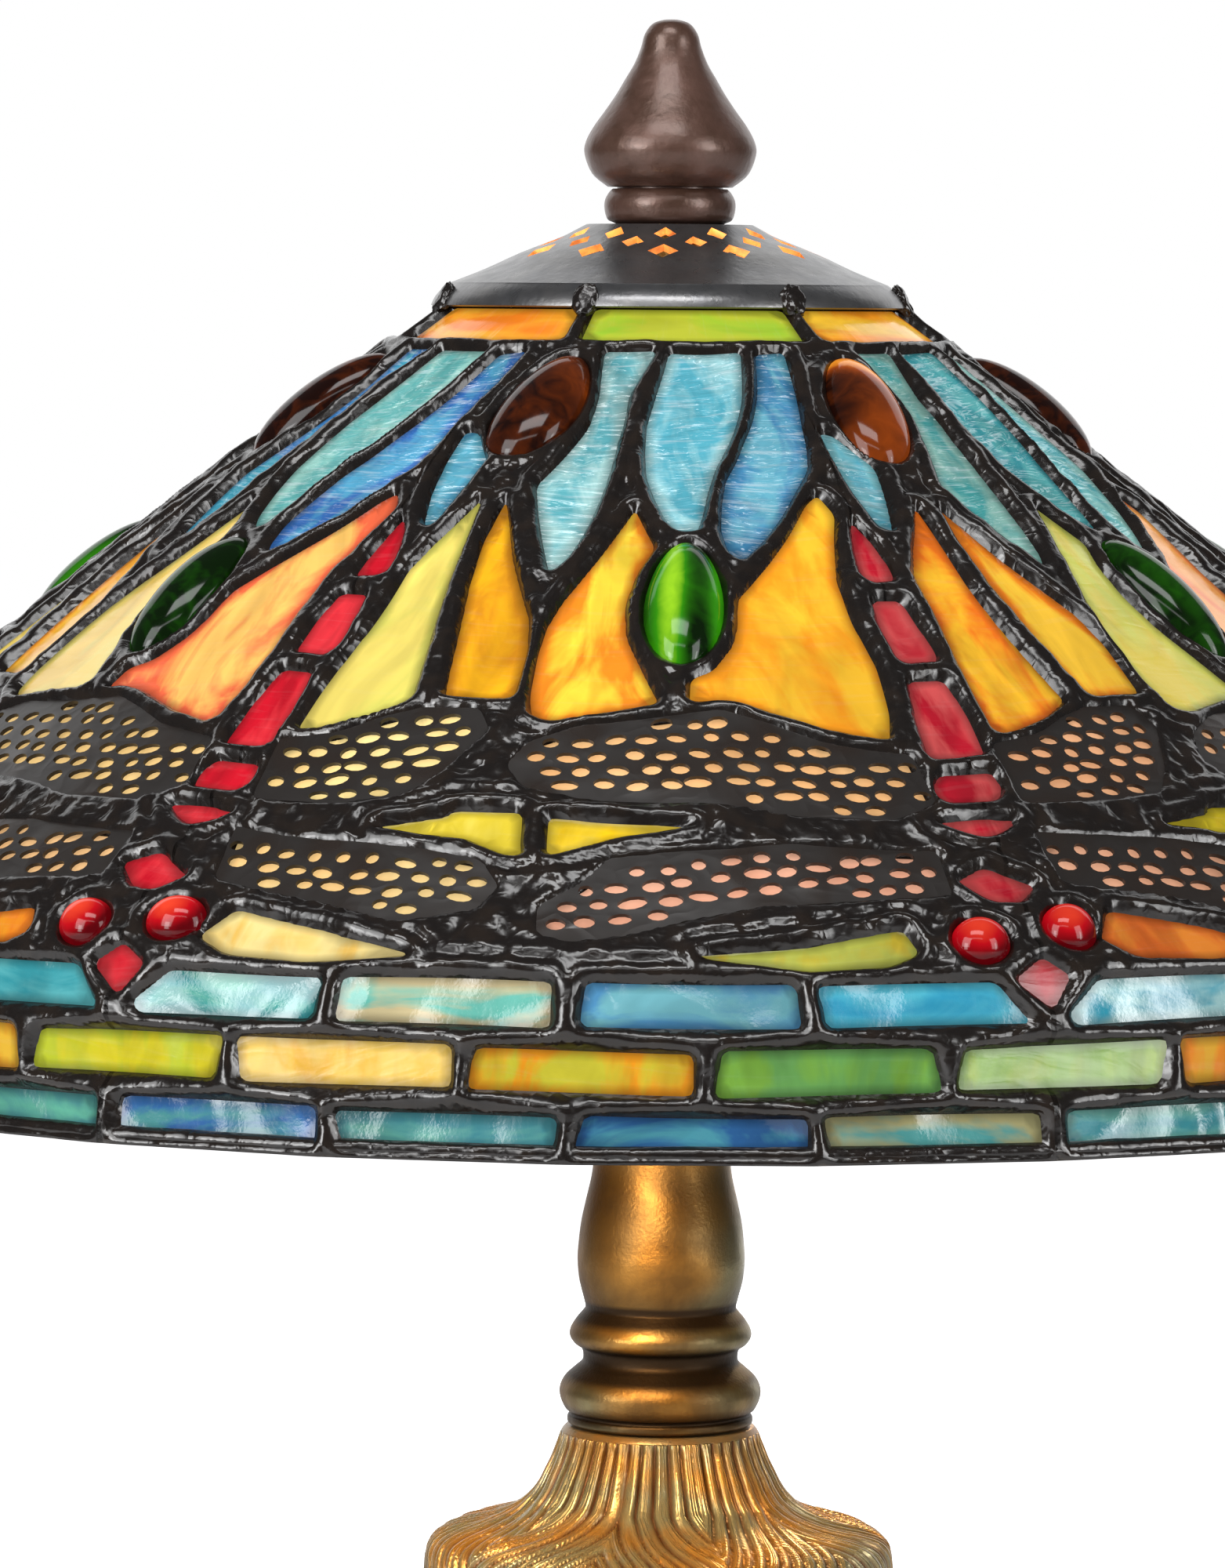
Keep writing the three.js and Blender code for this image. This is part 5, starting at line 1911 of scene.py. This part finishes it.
class LAMP_OT_stage(PieceOperator, bpy.types.Operator):
    """Set the floor, the studio light and the camera"""

    bl_idname = "lamp.stage"
    bl_label = "Stage"

    def execute(self, context):
        scene = context.scene
        scene.view_settings.view_transform = "Standard"
        stage = settings().stage
        bm = bmesh.new()
        bmesh.ops.create_grid(bm, x_segments=1, y_segments=1, size=6)
        mesh = bpy.data.meshes.new("floor")
        bm.to_mesh(mesh)
        bm.free()
        floor = bpy.data.objects.new("floor", mesh)
        scene.collection.objects.link(floor)
        paper, tree, principled, _ = new_material(
            "pale_floor", base_color=(0.86, 0.86, 0.87, 1), roughness=0.8,
            emission_color=(1, 1, 1, 1))
        seen = node(tree, "ShaderNodeLightPath").outputs["Is Camera Ray"]
        tree.links.new(seen, principled.inputs["Emission Strength"])
        mesh.materials.append(paper)

        world = bpy.data.worlds.new("studio")
        scene.world = world
        world.use_nodes = True
        tree = world.node_tree
        tree.nodes.clear()
        seen = node(tree, "ShaderNodeBackground", {"Color": (1, 1, 1, 1), "Strength": 1.0})
        around = node(tree, "ShaderNodeBackground",
                      {"Color": (0.92, 0.95, 1.0, 1), "Strength": stage.ambient})
        ray = node(tree, "ShaderNodeLightPath").outputs["Is Camera Ray"]
        both = node(tree, "ShaderNodeMixShader",
                    {0: ray, 1: around.outputs[0], 2: seen.outputs[0]})
        node(tree, "ShaderNodeOutputWorld", {"Surface": both.outputs[0]})

        middle = Vector((0, 0, RIM + 0.02))
        studio_lights = (
            ("key", (-1.1, -1.05, RIM + 0.75), (0.9, 1.1), stage.key_power),
            ("left_strip", (-1.2, -1.25, 0.62), (0.4, 0.8), stage.strip_power),
            ("front_strip", (-0.2, -1.15, RIM + 1.15), (1.1, 0.10), stage.front_power),
            ("right_strip", (1.3, -0.9, 0.55), (0.12, 0.7), stage.strip_power / 4),
            ("fill", (1.2, -0.95, RIM + 0.55), (0.6, 1.1), stage.fill_power),
            ("top", (-0.1, -0.6, RIM + 1.35), (0.9, 0.35), stage.top_power),
            ("backdrop", (0, 1.7, RIM + 0.5), (3.4, 2.2), stage.backdrop_power),
        )
        for name, place, size, power in studio_lights:
            soft_light(name, place, middle, size, power)

        for side in ("front", "back"):
            bulb = bpy.data.lights.new(f"{side}_bulb_light", "POINT")
            bulb.energy = stage.bulb_power
            bulb.color = settings().light.bulb_colour
            bulb.shadow_soft_size = BULB_LIGHT_RADIUS
            lamp = bpy.data.objects.new(bulb.name, bulb)
            lamp.location = bulb_centre(side)
            lamp.location.z -= BULB_LIGHT_DROP
            scene.collection.objects.link(lamp)

        data = bpy.data.cameras.new("camera")
        data.lens = stage.lens
        data.sensor_width = 36
        data.clip_start, data.clip_end = 0.05, 50
        camera = bpy.data.objects.new("camera", data)
        scene.collection.objects.link(camera)
        place = Vector((-stage.aim_side, -stage.distance, RIM + stage.above_rim))
        aim = Vector((-stage.aim_side, 0, RIM + stage.aim_drop))
        camera.location = place
        camera.rotation_mode = "QUATERNION"
        look = (aim - place).to_track_quat("-Z", "Y")
        roll = Matrix.Rotation(math.radians(stage.roll), 3, "Z").to_quaternion()
        camera.rotation_quaternion = look @ roll
        scene.camera = camera
        return {"FINISHED"}


# ---------------------------------------------------------------- panel and registration


class LampSettings(bpy.types.PropertyGroup):
    """Everything a user may change on the lamp."""

    shade: bpy.props.PointerProperty(type=ShadeSettings, name="Shade",
                                     description="Sizes and colours of the shade")
    light: bpy.props.PointerProperty(type=LightSettings, name="Light",
                                     description="The lamp's own light")
    base: bpy.props.PointerProperty(type=BaseSettings, name="Base",
                                    description="Finish of the base")
    stage: bpy.props.PointerProperty(type=StageSettings, name="Stage",
                                     description="Camera and studio light")


OPERATORS = (
    LAMP_OT_petals, LAMP_OT_rays, LAMP_OT_tails, LAMP_OT_wings, LAMP_OT_jewels, LAMP_OT_bricks,
    LAMP_OT_solder, LAMP_OT_tacks, LAMP_OT_rim_wire, LAMP_OT_cap, LAMP_OT_finial, LAMP_OT_sockets,
    LAMP_OT_bulbs, LAMP_OT_fittings, LAMP_OT_column, LAMP_OT_body, LAMP_OT_foot, LAMP_OT_stage,
)


class LAMP_PT_panel(bpy.types.Panel):
    """The lamp's settings and the steps that build it"""

    bl_idname = "LAMP_PT_panel"
    bl_label = "Dragonfly Lamp"
    bl_space_type = "VIEW_3D"
    bl_region_type = "UI"
    bl_category = "Dragonfly Lamp"

    def draw(self, context):
        lamp = context.scene.dragonfly_lamp
        for part in (lamp.shade, lamp.light, lamp.base, lamp.stage):
            box = self.layout.box()
            for key in part.bl_rna.properties.keys():
                if key not in ("rna_type", "name"):
                    box.prop(part, key)
        for operator in OPERATORS:
            self.layout.operator(operator.bl_idname)


CLASSES = (ShadeSettings, LightSettings, BaseSettings, StageSettings, LampSettings, *OPERATORS,
           LAMP_PT_panel)


def register():
    for cls in CLASSES:
        bpy.utils.register_class(cls)
    bpy.types.Scene.dragonfly_lamp = bpy.props.PointerProperty(type=LampSettings)


def unregister():
    del bpy.types.Scene.dragonfly_lamp
    for cls in reversed(CLASSES):
        bpy.utils.unregister_class(cls)


def main():
    register()
    for operator in OPERATORS:
        group, name = operator.bl_idname.split(".")
        getattr(getattr(bpy.ops, group), name)()


if __name__ == "__main__":
    main()
